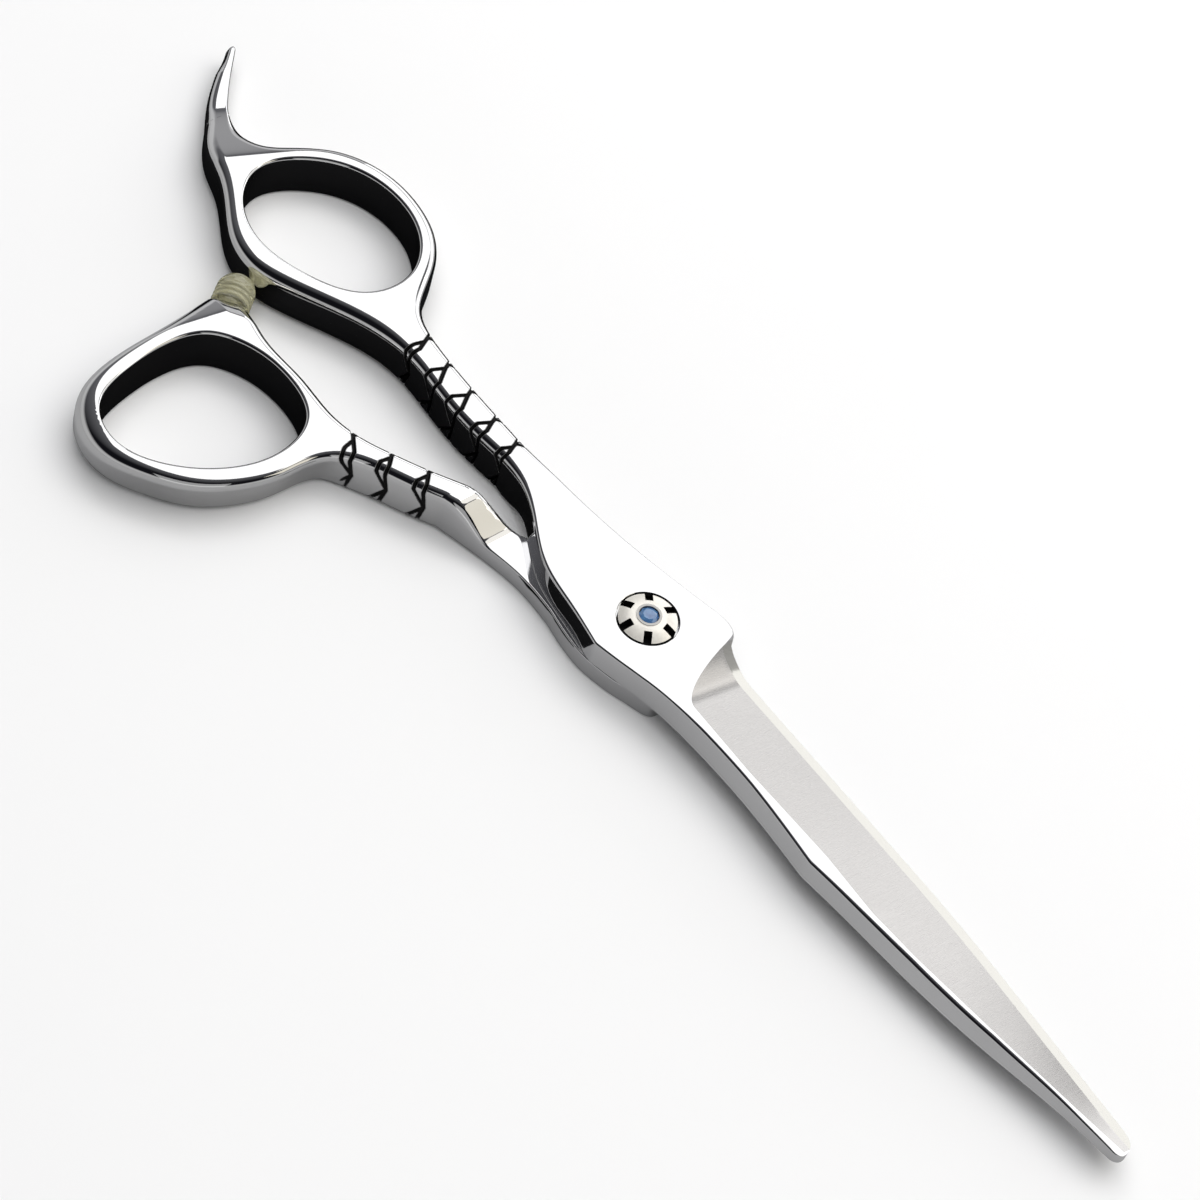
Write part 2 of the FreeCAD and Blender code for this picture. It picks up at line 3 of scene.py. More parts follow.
import bmesh
import bpy
import numpy as np
from mathutils import Matrix, Vector


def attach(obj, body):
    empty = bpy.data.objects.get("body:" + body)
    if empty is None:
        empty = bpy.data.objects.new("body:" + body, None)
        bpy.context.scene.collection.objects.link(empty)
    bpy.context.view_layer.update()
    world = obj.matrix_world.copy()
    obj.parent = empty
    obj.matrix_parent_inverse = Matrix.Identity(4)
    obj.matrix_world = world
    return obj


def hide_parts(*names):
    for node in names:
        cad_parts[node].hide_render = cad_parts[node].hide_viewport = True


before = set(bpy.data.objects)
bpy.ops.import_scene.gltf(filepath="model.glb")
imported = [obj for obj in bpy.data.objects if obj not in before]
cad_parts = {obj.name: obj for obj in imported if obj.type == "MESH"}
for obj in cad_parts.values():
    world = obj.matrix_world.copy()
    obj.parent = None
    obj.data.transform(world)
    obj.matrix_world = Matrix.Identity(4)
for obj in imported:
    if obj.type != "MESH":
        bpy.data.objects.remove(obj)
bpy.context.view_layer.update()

# Lengths in this script are millimetres in the shears' own frame. Meshes are scaled to metres when made.
MM = 0.001

# Heights and seams shared with the CAD frame
HANDLE_TOP = 6.3
COMB_TOP = 2.80
PLAIN_FLOOR = 2.86
PLAIN_SEAM = -26.5
COMB_SEAM = -25.5
REST_SEAM = -86.5
RAMP_END = -18.6
EDGE_LAND = 3.0
BEVEL_SLOPE = 0.5
SHOULDER_X = 8.3
KINK_X = 50.0
LOFT_END = 82.0
TIP_NEAR = 79.0
TIP_FAR = 77.6
TOOTH_COUNT = 30
TOOTH_FIRST = 11.4
TOOTH_PITCH = 2.15
TOOTH_GAP = 0.95
TOOTH_NOTCH = 0.45
HANDLE_ROUND = 1.2
HOLE_ROUND = 0.55
OUTLINE_SPACING = 0.15


# ---------------------------------------------------------------------------------------------
# Curves
# ---------------------------------------------------------------------------------------------
def spline_through(points, spacing):
    """Sample the natural cubic spline through the points, at about the given spacing."""
    knots = np.array(points, float)
    count = len(knots)
    steps = np.hypot(*np.diff(knots, axis=0).T)
    along = np.concatenate([[0.0], np.cumsum(steps)])
    if count == 2:
        fractions = np.linspace(0, 1, max(2, int(along[-1] / spacing) + 1))[:, None]
        return knots[0] + (knots[1] - knots[0]) * fractions
    system = np.eye(count)
    right = np.zeros((count, 2))
    slopes = np.diff(knots, axis=0) / steps[:, None]
    for i in range(1, count - 1):
        system[i, i - 1:i + 2] = steps[i - 1], 2 * (steps[i - 1] + steps[i]), steps[i]
        right[i] = 6 * (slopes[i] - slopes[i - 1])
    bends = np.linalg.solve(system, right)
    places = np.linspace(0, along[-1], max(2, int(along[-1] / spacing) + 1))
    cell = np.clip(np.searchsorted(along, places, side="right") - 1, 0, count - 2)
    step = steps[cell][:, None]
    before = (places - along[cell])[:, None]
    after = step - before
    low, high = knots[cell], knots[cell + 1]
    bend_low, bend_high = bends[cell], bends[cell + 1]
    return (bend_low * after**3 + bend_high * before**3) / (6 * step) + \
        (low / step - bend_low * step / 6) * after + (high / step - bend_high * step / 6) * before


def closed_path(runs):
    """Join runs of (kind, points) end to start into one closed outline."""
    pieces = []
    for index, (kind, points) in enumerate(runs):
        joint = runs[(index + 1) % len(runs)][1][0]
        knots = list(points) + [joint]
        if kind == "curve":
            pieces.append(spline_through(knots, OUTLINE_SPACING)[:-1])
            continue
        for start, end in zip(knots, knots[1:]):
            pieces.append(spline_through([start, end], OUTLINE_SPACING)[:-1])
    return np.concatenate(pieces)


def closed_loop(points):
    """Sample a smooth closed curve through the points."""
    wrap = 4
    padded = list(points[-wrap:]) + list(points) + list(points[:wrap + 1])
    dense = spline_through(padded, OUTLINE_SPACING)
    start = np.argmin(np.hypot(*(dense - np.array(points[0])).T)[:len(dense) // 2])
    end = len(dense) // 2 + np.argmin(np.hypot(*(dense - np.array(points[0])).T)[len(dense) // 2:])
    return dense[start:end]


def rising(x, start, end):
    """Smooth step from 0 at start to 1 at end."""
    t = np.clip((np.asarray(x, float) - start) / (end - start), 0, 1)
    return t * t * (3 - 2 * t)


# ---------------------------------------------------------------------------------------------
# Mesh helpers
# ---------------------------------------------------------------------------------------------
def add_mesh(name, vertices, faces, smooth=True):
    """Make an object from vertices in millimetres."""
    mesh = bpy.data.meshes.new(name)
    mesh.from_pydata((np.asarray(vertices, float) * MM).tolist(), [], [list(map(int, f)) for f in faces])
    mesh.validate()
    mesh.polygons.foreach_set("use_smooth", [smooth] * len(mesh.polygons))
    mesh.update()
    piece = bpy.data.objects.new(name, mesh)
    bpy.context.scene.collection.objects.link(piece)
    return piece


def loft(name, sections):
    """Skin equal-length closed sections, with a flat cap at each end."""
    count = len(sections[0])
    vertices = np.concatenate(sections)
    faces = []
    for row in range(len(sections) - 1):
        low, high = row * count, (row + 1) * count
        for i in range(count):
            j = (i + 1) % count
            faces.append((low + i, low + j, high + j, high + i))
    faces.append(tuple(range(count))[::-1])
    last = (len(sections) - 1) * count
    faces.append(tuple(range(last, last + count)))
    return add_mesh(name, vertices, faces)


def lathe(name, profile, segments=96):
    """Turn a (radius, height) profile, whose ends are on the axis, round +Z."""
    angles = np.linspace(0, 2 * np.pi, segments, endpoint=False)
    turned = [np.stack([radius * np.cos(angles), radius * np.sin(angles), np.full(segments, height)], 1)
              for radius, height in profile if radius > 0]
    return loft(name, turned)


def outward(piece):
    """Make every face point out of the solid."""
    work = bmesh.new()
    work.from_mesh(piece.data)
    bmesh.ops.recalc_face_normals(work, faces=work.faces)
    work.to_mesh(piece.data)
    work.free()


def cut(piece, cutter):
    """Subtract a closed cutter from a piece, and remove the cutter."""
    outward(piece)
    outward(cutter)
    change = piece.modifiers.new("cut", "BOOLEAN")
    change.operation = "DIFFERENCE"
    change.solver = "EXACT"
    change.object = cutter
    bpy.context.view_layer.update()
    evaluated = piece.evaluated_get(bpy.context.evaluated_depsgraph_get())
    result = bpy.data.meshes.new_from_object(evaluated)
    piece.modifiers.clear()
    old = piece.data
    piece.data = result
    bpy.data.meshes.remove(old)
    bpy.data.objects.remove(cutter)


def crease(piece, degrees):
    """Smooth shading broken at edges sharper than the angle, with flats kept flat."""
    mesh = piece.data
    mesh.polygons.foreach_set("use_smooth", [True] * len(mesh.polygons))
    mesh.set_sharp_from_angle(angle=math.radians(degrees))
    weighted = piece.modifiers.new("weighted", "WEIGHTED_NORMAL")
    weighted.keep_sharp = True
    weighted.weight = 80


# ---------------------------------------------------------------------------------------------
# Handles: distance fields, meshed as surface nets
# ---------------------------------------------------------------------------------------------
FIELD_STEP = 0.2


class FlatField:
    """Signed distance to a closed outline in plan, kept on a grid and read with cubic interpolation."""

    def __init__(self, outline, low, high):
        self.low = np.array(low, float)
        self.xs = np.arange(low[0], high[0], FIELD_STEP)
        self.ys = np.arange(low[1], high[1], FIELD_STEP)
        start = outline
        end = np.roll(outline, -1, axis=0)
        span = end - start
        length = (span**2).sum(1)
        self.values = np.empty((len(self.xs), len(self.ys)))
        for i, x in enumerate(self.xs):
            dx = x - start[:, 0][:, None]
            dy = self.ys[None, :] - start[:, 1][:, None]
            t = np.clip((dx * span[:, :1] + dy * span[:, 1:]) / length[:, None], 0, 1)
            gap = (dx - t * span[:, :1])**2 + (dy - t * span[:, 1:])**2
            crosses = (start[:, 0] > x) != (end[:, 0] > x)
            height = start[crosses, 1] + (x - start[crosses, 0]) / span[crosses, 0] * span[crosses, 1]
            inside = (height[:, None] > self.ys[None, :]).sum(0) % 2 == 1
            self.values[i] = np.sqrt(gap.min(0)) * np.where(inside, -1, 1)

    def __call__(self, x, y):
        u = (x - self.low[0]) / FIELD_STEP
        v = (y - self.low[1]) / FIELD_STEP
        i = np.clip(u.astype(int), 1, len(self.xs) - 3)
        j = np.clip(v.astype(int), 1, len(self.ys) - 3)
        result = np.zeros(u.shape)
        weights_u = cubic_weights(u - i)
        weights_v = cubic_weights(v - j)
        for a in range(4):
            for b in range(4):
                result += weights_u[a] * weights_v[b] * self.values[i + a - 1, j + b - 1]
        return result


def cubic_weights(t):
    """Catmull-Rom weights of the four samples round a place."""
    return (-0.5 * t**3 + t**2 - 0.5 * t, 1.5 * t**3 - 2.5 * t**2 + 1,
            -1.5 * t**3 + 2 * t**2 + 0.5 * t, 0.5 * t**3 - 0.5 * t**2)


def rounded_slab(side, level, radius):
    """Distance to a slab's edge whose corner is rounded: side and level are its two plain distances."""
    a, b = side + radius, level + radius
    return np.minimum(np.maximum(a, b), 0) + np.hypot(np.maximum(a, 0), np.maximum(b, 0)) - radius


def near_lines(points, segments):
    """Distance from each point to the nearest of the line segments."""
    best = np.full(len(points), 9.0)
    for start, end in segments:
        span = end - start
        away = points - start
        t = np.clip(away @ span / (span @ span), 0, 1)
        best = np.minimum(best, np.linalg.norm(away - t[:, None] * span, axis=1))
    return best


class Handle:
    """One handle's solid: a rounded slab with a finger hole, dipped in places, and engraved."""

    def __init__(self, outline, hole, round_at, dip_at, floor_at, draft_at, groove_x):
        low = outline.min(0) - 2.5
        high = outline.max(0) + 2.5
        self.outer = FlatField(outline, low, high)
        self.inner = FlatField(hole, low, high)
        self.round_at = round_at
        self.dip_at = dip_at
        self.floor_at = floor_at
        self.draft_at = draft_at
        self.groove_x = groove_x
        self.grooves = []
        self.groove_radius = 0.2

    def plain(self, x, y, z, outer, inner):
        top = HANDLE_TOP - self.dip_at(x, y)
        floor = self.floor_at(x, y)
        level = np.maximum(z - top, floor - z)
        side = outer + self.draft_at(x, y) * (HANDLE_TOP - z)
        body = rounded_slab(side, level, self.round_at(x, y))
        hole = rounded_slab(-inner, level, HOLE_ROUND)
        return np.maximum(body, hole)

    def engraved(self, points, value):
        """Take the grooves out of the plain solid's distances."""
        if not self.grooves:
            return value
        close = (np.abs(value) < 0.5) & (points[:, 0] > self.groove_x)
        lines = near_lines(points[close], self.grooves)
        cutout = self.groove_radius - lines
        blend = 0.05
        mix = np.clip(0.5 + 0.5 * (cutout - value[close]) / blend, 0, 1)
        value = value.copy()
        value[close] = value[close] * (1 - mix) + cutout * mix + blend * mix * (1 - mix)
        return value

    def at(self, points, engrave=True):
        x, y, z = points.T
        value = self.plain(x, y, z, self.outer(x, y), self.inner(x, y))
        return self.engraved(points, value) if engrave else value

    def slope(self, points, step=0.06, engrave=True):
        """Gradient of the field."""
        result = np.empty_like(points)
        for axis in range(3):
            shift = np.zeros(3)
            shift[axis] = step
            result[:, axis] = self.at(points + shift, engrave) - self.at(points - shift, engrave)
        return result / (2 * step)

    def settle(self, points, turns, engrave=False):
        """Move points onto the surface."""
        for _ in range(turns):
            slope = self.slope(points, 0.03, engrave)
            size = np.maximum((slope**2).sum(1), 0.2)
            points = points - slope * (self.at(points, engrave) / size)[:, None]
        return points

    def engrave(self, lines):
        """Add grooves along polylines, laid onto the surface, on both faces."""
        for line in lines:
            knots = np.array(line, float)
            dense = [knots[:1]]
            for start, end in zip(knots, knots[1:]):
                count = max(2, int(np.linalg.norm(end - start) / 0.35) + 1)
                dense.append(start + (end - start) * np.linspace(0, 1, count)[1:, None])
            path = self.settle(np.concatenate(dense), 6)
            mirrored = path.copy()
            mirrored[:, 2] = HANDLE_TOP - mirrored[:, 2]
            for way in (path, mirrored):
                self.grooves.extend(zip(way[:-1], way[1:]))


def surface_net(handle, xs, ys, zs, start_x, end_x):
    """Vertices and quads of the handle's surface between two x planes, each end a flat cap."""
    gx, gy = np.meshgrid(xs, ys, indexing="ij")
    outer = handle.outer(gx, gy)[:, :, None]
    inner = handle.inner(gx, gy)[:, :, None]
    x, y, z = gx[:, :, None], gy[:, :, None], zs[None, None, :]
    value = handle.plain(x, y, z, outer, inner)
    shape = value.shape
    grid = np.stack(np.broadcast_arrays(x, y, z), -1).reshape(-1, 3)
    value = handle.engraved(grid, value.reshape(-1))
    value = clipped(value, grid[:, 0], start_x, end_x).reshape(shape)
    solid = value < 0
    corners = [(a, b, c) for a in (0, 1) for b in (0, 1) for c in (0, 1)]
    cells = [slice(0, -1), slice(1, None)]
    total = sum(solid[cells[a], cells[b], cells[c]].astype(int) for a, b, c in corners)
    active = (total > 0) & (total < 8)
    number = np.full(active.shape, -1)
    index = np.argwhere(active)
    number[active] = np.arange(len(index))
    lines = [xs, ys, zs]
    place = np.zeros((len(index), 3))
    hits = np.zeros(len(index))
    for axis in range(3):
        others = [a for a in range(3) if a != axis]
        for p in (0, 1):
            for q in (0, 1):
                low = index.copy()
                low[:, others[0]] += p
                low[:, others[1]] += q
                high = low.copy()
                high[:, axis] += 1
                f_low = value[tuple(low.T)]
                f_high = value[tuple(high.T)]
                change = (f_low < 0) != (f_high < 0)
                t = np.where(change, f_low / np.where(change, f_low - f_high, 1), 0)
                point = np.stack([lines[a][low[:, a]] for a in range(3)], 1)
                span = lines[axis][high[:, axis]] - lines[axis][low[:, axis]]
                point[:, axis] += t * span
                place[change] += point[change]
                hits += change
    place /= hits[:, None]
    faces = []
    for axis in range(3):
        first = [slice(None)] * 3
        second = [slice(None)] * 3
        first[axis] = slice(0, -1)
        second[axis] = slice(1, None)
        change = solid[tuple(first)] != solid[tuple(second)]
        spots = np.argwhere(change)
        b, c = [(1, 2), (2, 0), (0, 1)][axis]
        spots = spots[(spots[:, b] > 0) & (spots[:, c] > 0)]
        quad = []
        for db, dc in ((-1, -1), (0, -1), (0, 0), (-1, 0)):
            cell = spots.copy()
            cell[:, b] += db
            cell[:, c] += dc
            quad.append(number[tuple(cell.T)])
        quad = np.stack(quad, 1)
        flip = ~solid[tuple(spots.T)]
        quad[flip] = quad[flip][:, ::-1]
        faces.append(quad)
    return place, np.concatenate(faces)


def clipped(value, x, start_x, end_x):
    """Cut a field at two planes, slightly shrunk where it passes into the next piece."""
    inset = 0.02
    value = np.where((x > end_x) | (x < start_x), value + inset, value)
    overlap = 0.12
    return np.maximum(value, np.maximum(x - end_x - overlap, start_x - x - overlap))


def mesh_handle(name, handle, xs, ys, zs, start_x, end_x):
    """Mesh a handle between two planes, with its normals taken from the field."""
    place, faces = surface_net(handle, xs, ys, zs, start_x, end_x)
    inside = (place[:, 0] > start_x + 0.02) & (place[:, 0] < end_x - 0.02)
    place[inside] = handle.settle(place[inside], 2, True)
    normals = handle.slope(place)
    normals /= np.maximum(np.linalg.norm(normals, axis=1), 1e-6)[:, None]
    piece = add_mesh(name, place, faces)
    piece.data.normals_split_custom_set_from_vertices(normals.tolist())
    etched = np.zeros(len(place), np.float32)
    if handle.grooves:
        close = place[:, 0] > handle.groove_x
        reach = near_lines(place[close], handle.grooves)
        etched[close] = 1 - rising(reach, handle.groove_radius * 1.1, handle.groove_radius * 1.6)
    piece.data.attributes.new("etched", "FLOAT", "POINT").data.foreach_set("value", etched)
    return piece


FINGER_OUTLINE = [
    ("curve", [(-86.5, 0.7), (-82.6, -2.2), (-78.4, -3.6), (-74.0, -5.8), (-69.5, -8.1), (-64.5, -8.6),
               (-60.0, -7.0), (-55.0, -4.3), (-50.0, -1.9), (-45.0, -0.7), (-38.0, -0.9), (-32.0, -0.9),
               (-26.5, -0.3)]),
    ("curve", [(-24.0, -0.1), (-22.0, 0.0)]),
    ("lines", [(-22.0, 3.6), (-26.5, 3.4)]),
    ("curve", [(-26.5, 3.4), (-32.0, 3.3), (-38.0, 3.3), (-45.0, 3.8), (-48.8, 5.0), (-51.4, 7.6),
               (-54.3, 11.2), (-57.6, 13.6), (-61.8, 14.8), (-66.5, 14.8), (-71.2, 13.3), (-75.0, 10.4),
               (-77.6, 6.9), (-79.8, 4.1), (-83.2, 3.3), (-86.5, 4.2), (-88.6, 5.6), (-90.7, 7.3),
               (-92.9, 9.3)]),
    ("curve", [(-94.9, 11.2), (-95.5, 11.3), (-95.7, 10.8), (-95.2, 9.9)]),
    ("curve", [(-93.2, 7.1), (-91.2, 4.8), (-89.0, 2.7)]),
]
TANG_START = (-77.9, 1.6)
TANG_HEADING = (-0.927, 0.375)
TANG_SLOPE = 0.27
TANG_LEVELS = 10.2
TANG_MIDDLE = (-86.5, 2.45)
TANG_OUTSIDE = (-0.680, -0.733)
BOSS_START = (-59.4, -15.2)
BOSS_HEADING = (-0.595, 0.804)
BOSS_SIDE = (-59.55, -14.0)
BOSS_OUTSIDE = (-0.990, 0.145)
RING_END = (-54.5, -37.5)
FINGER_HOLE = [(-76.1, 0.8), (-74.6, 6.5), (-70.2, 10.9), (-64.7, 12.6), (-58.0, 11.2), (-53.8, 5.9),
               (-54.5, 0.7), (-60.0, -3.7), (-67.7, -5.5), (-74.3, -2.5)]
THUMB_OUTLINE = [
    ("curve", [(-25.5, -9.9), (-28.8, -11.9), (-32.4, -13.8), (-35.4, -16.0), (-36.9, -18.9),
               (-37.2, -23.4), (-38.2, -28.3), (-41.2, -33.9), (-45.2, -37.4), (-50.6, -39.9),
               (-55.4, -39.4), (-59.2, -36.6), (-61.2, -31.4), (-62.0, -26.0), (-62.9, -19.8),
               (-63.7, -15.6)]),
    ("curve", [(-63.93, -14.38), (-62.6, -13.25), (-60.47, -11.82)]),
    ("curve", [(-59.9, -12.1), (-57.6, -12.9), (-54.0, -13.5), (-48.0, -13.2), (-41.5, -13.3),
               (-37.2, -12.4), (-33.7, -10.7), (-29.6, -8.4), (-25.5, -5.8)]),
    ("lines", [(-22.0, -3.8), (-22.0, -8.4)]),
]
THUMB_HOLE = [(-58.3, -19.4), (-55.5, -16.9), (-48.5, -15.1), (-42.9, -16.6), (-40.3, -22.2), (-41.3, -28.2),
              (-45.2, -34.1), (-50.8, -37.3), (-55.6, -36.2), (-58.7, -29.9), (-59.4, -24.1)]


def past(x, y, start, heading):
    """Distance beyond a line through start, square to the heading."""
    return (x - start[0]) * heading[0] + (y - start[1]) * heading[1]


def above(value, soft):
    """The positive part of a value, with the corner at zero softened."""
    return (value + np.hypot(value, soft) - soft) / 2


def finger_dip(x, y):
    """The tang slopes down from the ring, and its tip levels out."""
    beyond = past(x, y, TANG_START, TANG_HEADING)
    fall = TANG_SLOPE * (above(beyond, 0.45) - above(beyond - TANG_LEVELS, 0.9))
    return fall - 0.25 * rising(beyond, 11.0, 17.0)


def finger_floor(x, y):
    """The tang's underside rises from the ring's."""
    return 0.9 * rising(-x, 80.0, 88.0)


def thumb_dip(x, y):
    """The boss slopes down towards the bumper, and its outer side falls away."""
    beyond = above(past(x, y, BOSS_START, BOSS_HEADING), 0.35)
    outside = above(past(x, y, BOSS_SIDE, BOSS_OUTSIDE), 0.35)
    return np.maximum(0.42 * beyond + 0.04 * beyond**2, 0.30 * outside)


def thumb_draft(x, y):
    """The ring's near wall leans in towards the bottom, most at its right."""
    return 0.22 * rising(x, -58.0, -44.0) * (1 - rising(y, -18.0, -14.5))


def zero(x, y):
    return np.zeros(np.broadcast(x, y).shape)


def finger_round(x, y):
    """Edge radius: larger on the ring; on the tang broad outside and nearly sharp inside."""
    ring = HANDLE_ROUND + 0.35 * rising(-x, 40.0, 50.0)
    outside = past(x, y, TANG_MIDDLE, TANG_OUTSIDE)
    tang = 0.35 + 0.9 * rising(outside, -0.7, 0.5)
    return ring + (tang - ring) * rising(-x, 82.0, 87.0)


def thumb_round(x, y):
    """Edge radius: larger on the ring, and largest round its far end."""
    end = np.exp(-((x - RING_END[0])**2 + (y - RING_END[1])**2) / 5.5**2)
    return HANDLE_ROUND + 0.35 * rising(-x, 36.0, 44.0) + 1.2 * end


def junction(far, middle, near_a, near_b, along, near_wall, far_wall):
    """Grooves of one engraved joint: a Y on the flat, and forks that meet halfway down each wall."""
    top = HANDLE_TOP
    half = HANDLE_TOP / 2
    far, middle, near_a, near_b = (np.array(p + (top,)) for p in (far, middle, near_a, near_b))
    along = np.array(along + (0.0,))
    across = np.array([-along[1], along[0], 0.0])
    centre = (near_a + near_b) / 2 + along * 1.1
    knee_near = centre - across * near_wall
    knee_near[2] = half
    lines = [[far, middle, near_a], [middle, near_b]]
    for branch in (near_a, near_b):
        edge = branch - across * near_wall * 0.8
        edge[2] = top - 0.7
        lines.append([branch, edge, knee_near])
    for offset in (-1.0, 1.5):
        edge = far + across * far_wall * 0.7 + along * offset * 0.45
        edge[2] = top - 0.5
        knee_far = far + across * far_wall + along * offset
        knee_far[2] = half
        lines.append([far, edge, knee_far])
    return lines


FINGER_JOINTS = [
    ((-45.1, 2.8), (-44.8, 2.1), (-45.1, 0.8), (-44.2, 0.9)),
    ((-40.7, 2.5), (-40.4, 1.8), (-41.0, 0.3), (-39.1, 0.0)),
    ((-36.2, 2.4), (-35.9, 1.7), (-36.7, 0.0), (-34.7, -0.1)),
    ((-31.5, 2.3), (-31.3, 1.7), (-32.0, 0.2), (-30.6, 0.4)),
    ((-27.4, 2.2), (-27.2, 1.6), (-27.7, 0.4), (-26.7, 0.5)),
]
THUMB_JOINTS = [
    ((-37.8, -13.6), (-37.2, -14.0), (-36.9, -15.4), (-35.8, -14.9)),
    ((-33.4, -11.3), (-33.0, -11.7), (-33.2, -13.1), (-32.2, -12.6)),
    ((-29.2, -9.1), (-28.8, -9.5), (-28.9, -11.1), (-27.8, -10.5)),
]


def make_handles():
    """Finger handle with its rest, and thumb handle."""
    outline = closed_path(FINGER_OUTLINE)
    finger = Handle(outline, closed_loop(FINGER_HOLE), finger_round, finger_dip, finger_floor, zero, -47.5)
    for points in FINGER_JOINTS:
        finger.engrave(junction(*points, (1.0, 0.0), 1.2, 1.0))
    outline = closed_path(THUMB_OUTLINE)
    thumb = Handle(outline, closed_loop(THUMB_HOLE), thumb_round, thumb_dip, zero, thumb_draft, -41.0)
    for points in THUMB_JOINTS:
        thumb.engrave(junction(*points, (0.87, 0.49), 1.2, 1.0))
    coarse, fine = ((0.24, 0.115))
    zs = np.arange(-0.3, 6.6, coarse * 0.75)
    zs_fine = np.arange(-0.3, 6.6, fine * 1.15)
    pieces = {}
    xs = np.concatenate([np.arange(-86.9, -47.5, coarse), np.arange(-47.5, PLAIN_SEAM + 0.4, fine)])
    ys = np.concatenate([np.arange(-9.2, -1.6, coarse), np.arange(-1.6, 4.6, fine),
                         np.arange(4.6, 15.6, coarse)])
    pieces["finger_handle"] = mesh_handle("finger_ring", finger, xs, ys, zs_fine, REST_SEAM, PLAIN_SEAM)
    xs = np.arange(-96.4, REST_SEAM + 0.5, coarse * 0.6)
    ys = np.arange(-0.6, 12.2, coarse * 0.6)
    pieces["finger_rest"] = mesh_handle("finger_tang", finger, xs, ys, zs, -99.0, REST_SEAM)
    xs = np.concatenate([np.arange(-64.8, -39.8, coarse), np.arange(-39.8, COMB_SEAM + 0.4, fine)])
    ys = np.concatenate([np.arange(-40.8, -17.0, coarse), np.arange(-17.0, -5.0, fine)])
    pieces["thumb_handle"] = mesh_handle("thumb_ring", thumb, xs, ys, zs_fine, -99.0, COMB_SEAM)
    return pieces


# ---------------------------------------------------------------------------------------------
# Blades: lofted sections
# ---------------------------------------------------------------------------------------------
ARC_STEPS = 12
GROUND_STEPS = 7
BEVEL_STEPS = 11


def edge_line(knots):
    """A side of a blade in plan as a function of x, from runs of (kind, points)."""
    dense = []
    for kind, points in knots:
        if kind == "curve":
            dense.append(spline_through(points, 0.1))
        else:
            dense.append(np.array(points, float))
    dense = np.concatenate(dense)
    order = np.argsort(dense[:, 0], kind="stable")
    return dense[order]


PLAIN_NEAR = edge_line([
    ("curve", [(-26.5, -0.3), (-23.6, -0.5), (-18.2, -2.6), (-12.1, -5.6), (-6.0, -6.6), (-0.4, -7.5)]),
    ("curve", [(-0.4, -7.5), (2.5, -6.8), (8.0, -5.4), (15.0, -4.6), (24.0, -4.4), (34.5, -5.0)]),
    ("curve", [(34.5, -5.0), (38.0, -4.6), (50.0, -3.6), (62.0, -2.0), (72.0, -0.1), (79.0, 0.85)]),
    ("curve", [(79.0, 0.85), (80.0, 1.1), (80.4, 1.55), (80.5, 1.95)]),
])
PLAIN_FAR = edge_line([
    ("curve", [(-26.5, 3.4), (-14.2, 4.2), (-3.2, 6.1), (3.8, 7.7)]),
    ("curve", [(3.8, 7.7), (5.2, 7.8), (6.6, 7.4), (7.5, 6.5)]),
    ("lines", [(8.3, 6.4), (43.0, 6.4)]),
    ("curve", [(43.0, 6.4), (51.0, 6.2), (61.8, 5.6), (70.0, 5.1), (77.6, 4.65)]),
    ("curve", [(77.6, 4.65), (79.2, 4.2), (80.1, 3.2), (80.5, 2.05)]),
])
COMB_NEAR = edge_line([
    ("curve", [(-25.5, -9.9), (-19.6, -8.0), (-13.3, -6.8), (-8.1, -6.9)]),
    ("curve", [(-8.1, -6.9), (-1.6, -7.5), (3.0, -6.6)]),
    ("curve", [(3.0, -6.6), (6.4, -5.4), (7.9, -4.6), (8.3, -3.6), (8.6, -2.6)]),
    ("lines", [(9.9, -2.6), (10.0, -3.5), (46.0, -3.5), (75.3, 1.19)]),
    ("curve", [(75.3, 1.19), (77.2, 1.6), (78.4, 2.0), (79.0, 2.45)]),
])
COMB_FAR = edge_line([
    ("curve", [(-25.5, -5.8), (-21.5, -4.4), (-18.0, -3.0), (-14.0, -0.6), (-9.0, 2.6), (-4.0, 4.3),
               (3.0, 5.0), (12.0, 5.4)]),
    ("lines", [(46.0, 5.4)]),
    ("curve", [(46.0, 5.4), (57.0, 4.9), (66.0, 4.4), (76.0, 3.7), (78.4, 3.2), (79.0, 2.55)]),
])


def side_at(line, x):
    return float(np.interp(x, line[:, 0], line[:, 1]))


def by_x(x, *pairs):
    """Value at x of a table of (x, value) pairs."""
    places, values = zip(*pairs)
    return float(np.interp(x, places, values))


def arc(y, z, radius, start, end):
    """Points of an arc about (y, z), angles in degrees from +Y towards +Z."""
    angles = np.radians(np.linspace(start, end, ARC_STEPS))
    return np.stack([y + radius * np.cos(angles), z + radius * np.sin(angles)], 1)


def between(start, end, steps):
    """Evenly spaced points strictly between two points."""
    fractions = np.linspace(0, 1, steps + 2)[1:-1, None]
    return np.array(start) + (np.array(end) - np.array(start)) * fractions


def stations(start, end, close):
    """Places along x, with closer spacing round the listed features."""
    places = [start, end]
    x = start
    while x < end:
        step = 0.8
        for centre, reach, fine in close:
            if abs(x - centre) < reach:
                step = min(step, fine)
        x += step
        if x < end:
            places.append(x)
    return sorted(set(np.round(places, 4)))


def plain_top(x):
    """Height of the plain blade's flat top."""
    return by_x(x, (SHOULDER_X - 2, 6.3), (SHOULDER_X + 4, 6.15), (KINK_X, 5.05), (LOFT_END, 4.2))


def wheel_rise(x, end=12.2):
    """How much the grinding wheel's run-out lifts the ground face near the shoulder."""
    return max(0.0, end - x)**2 / 9.2


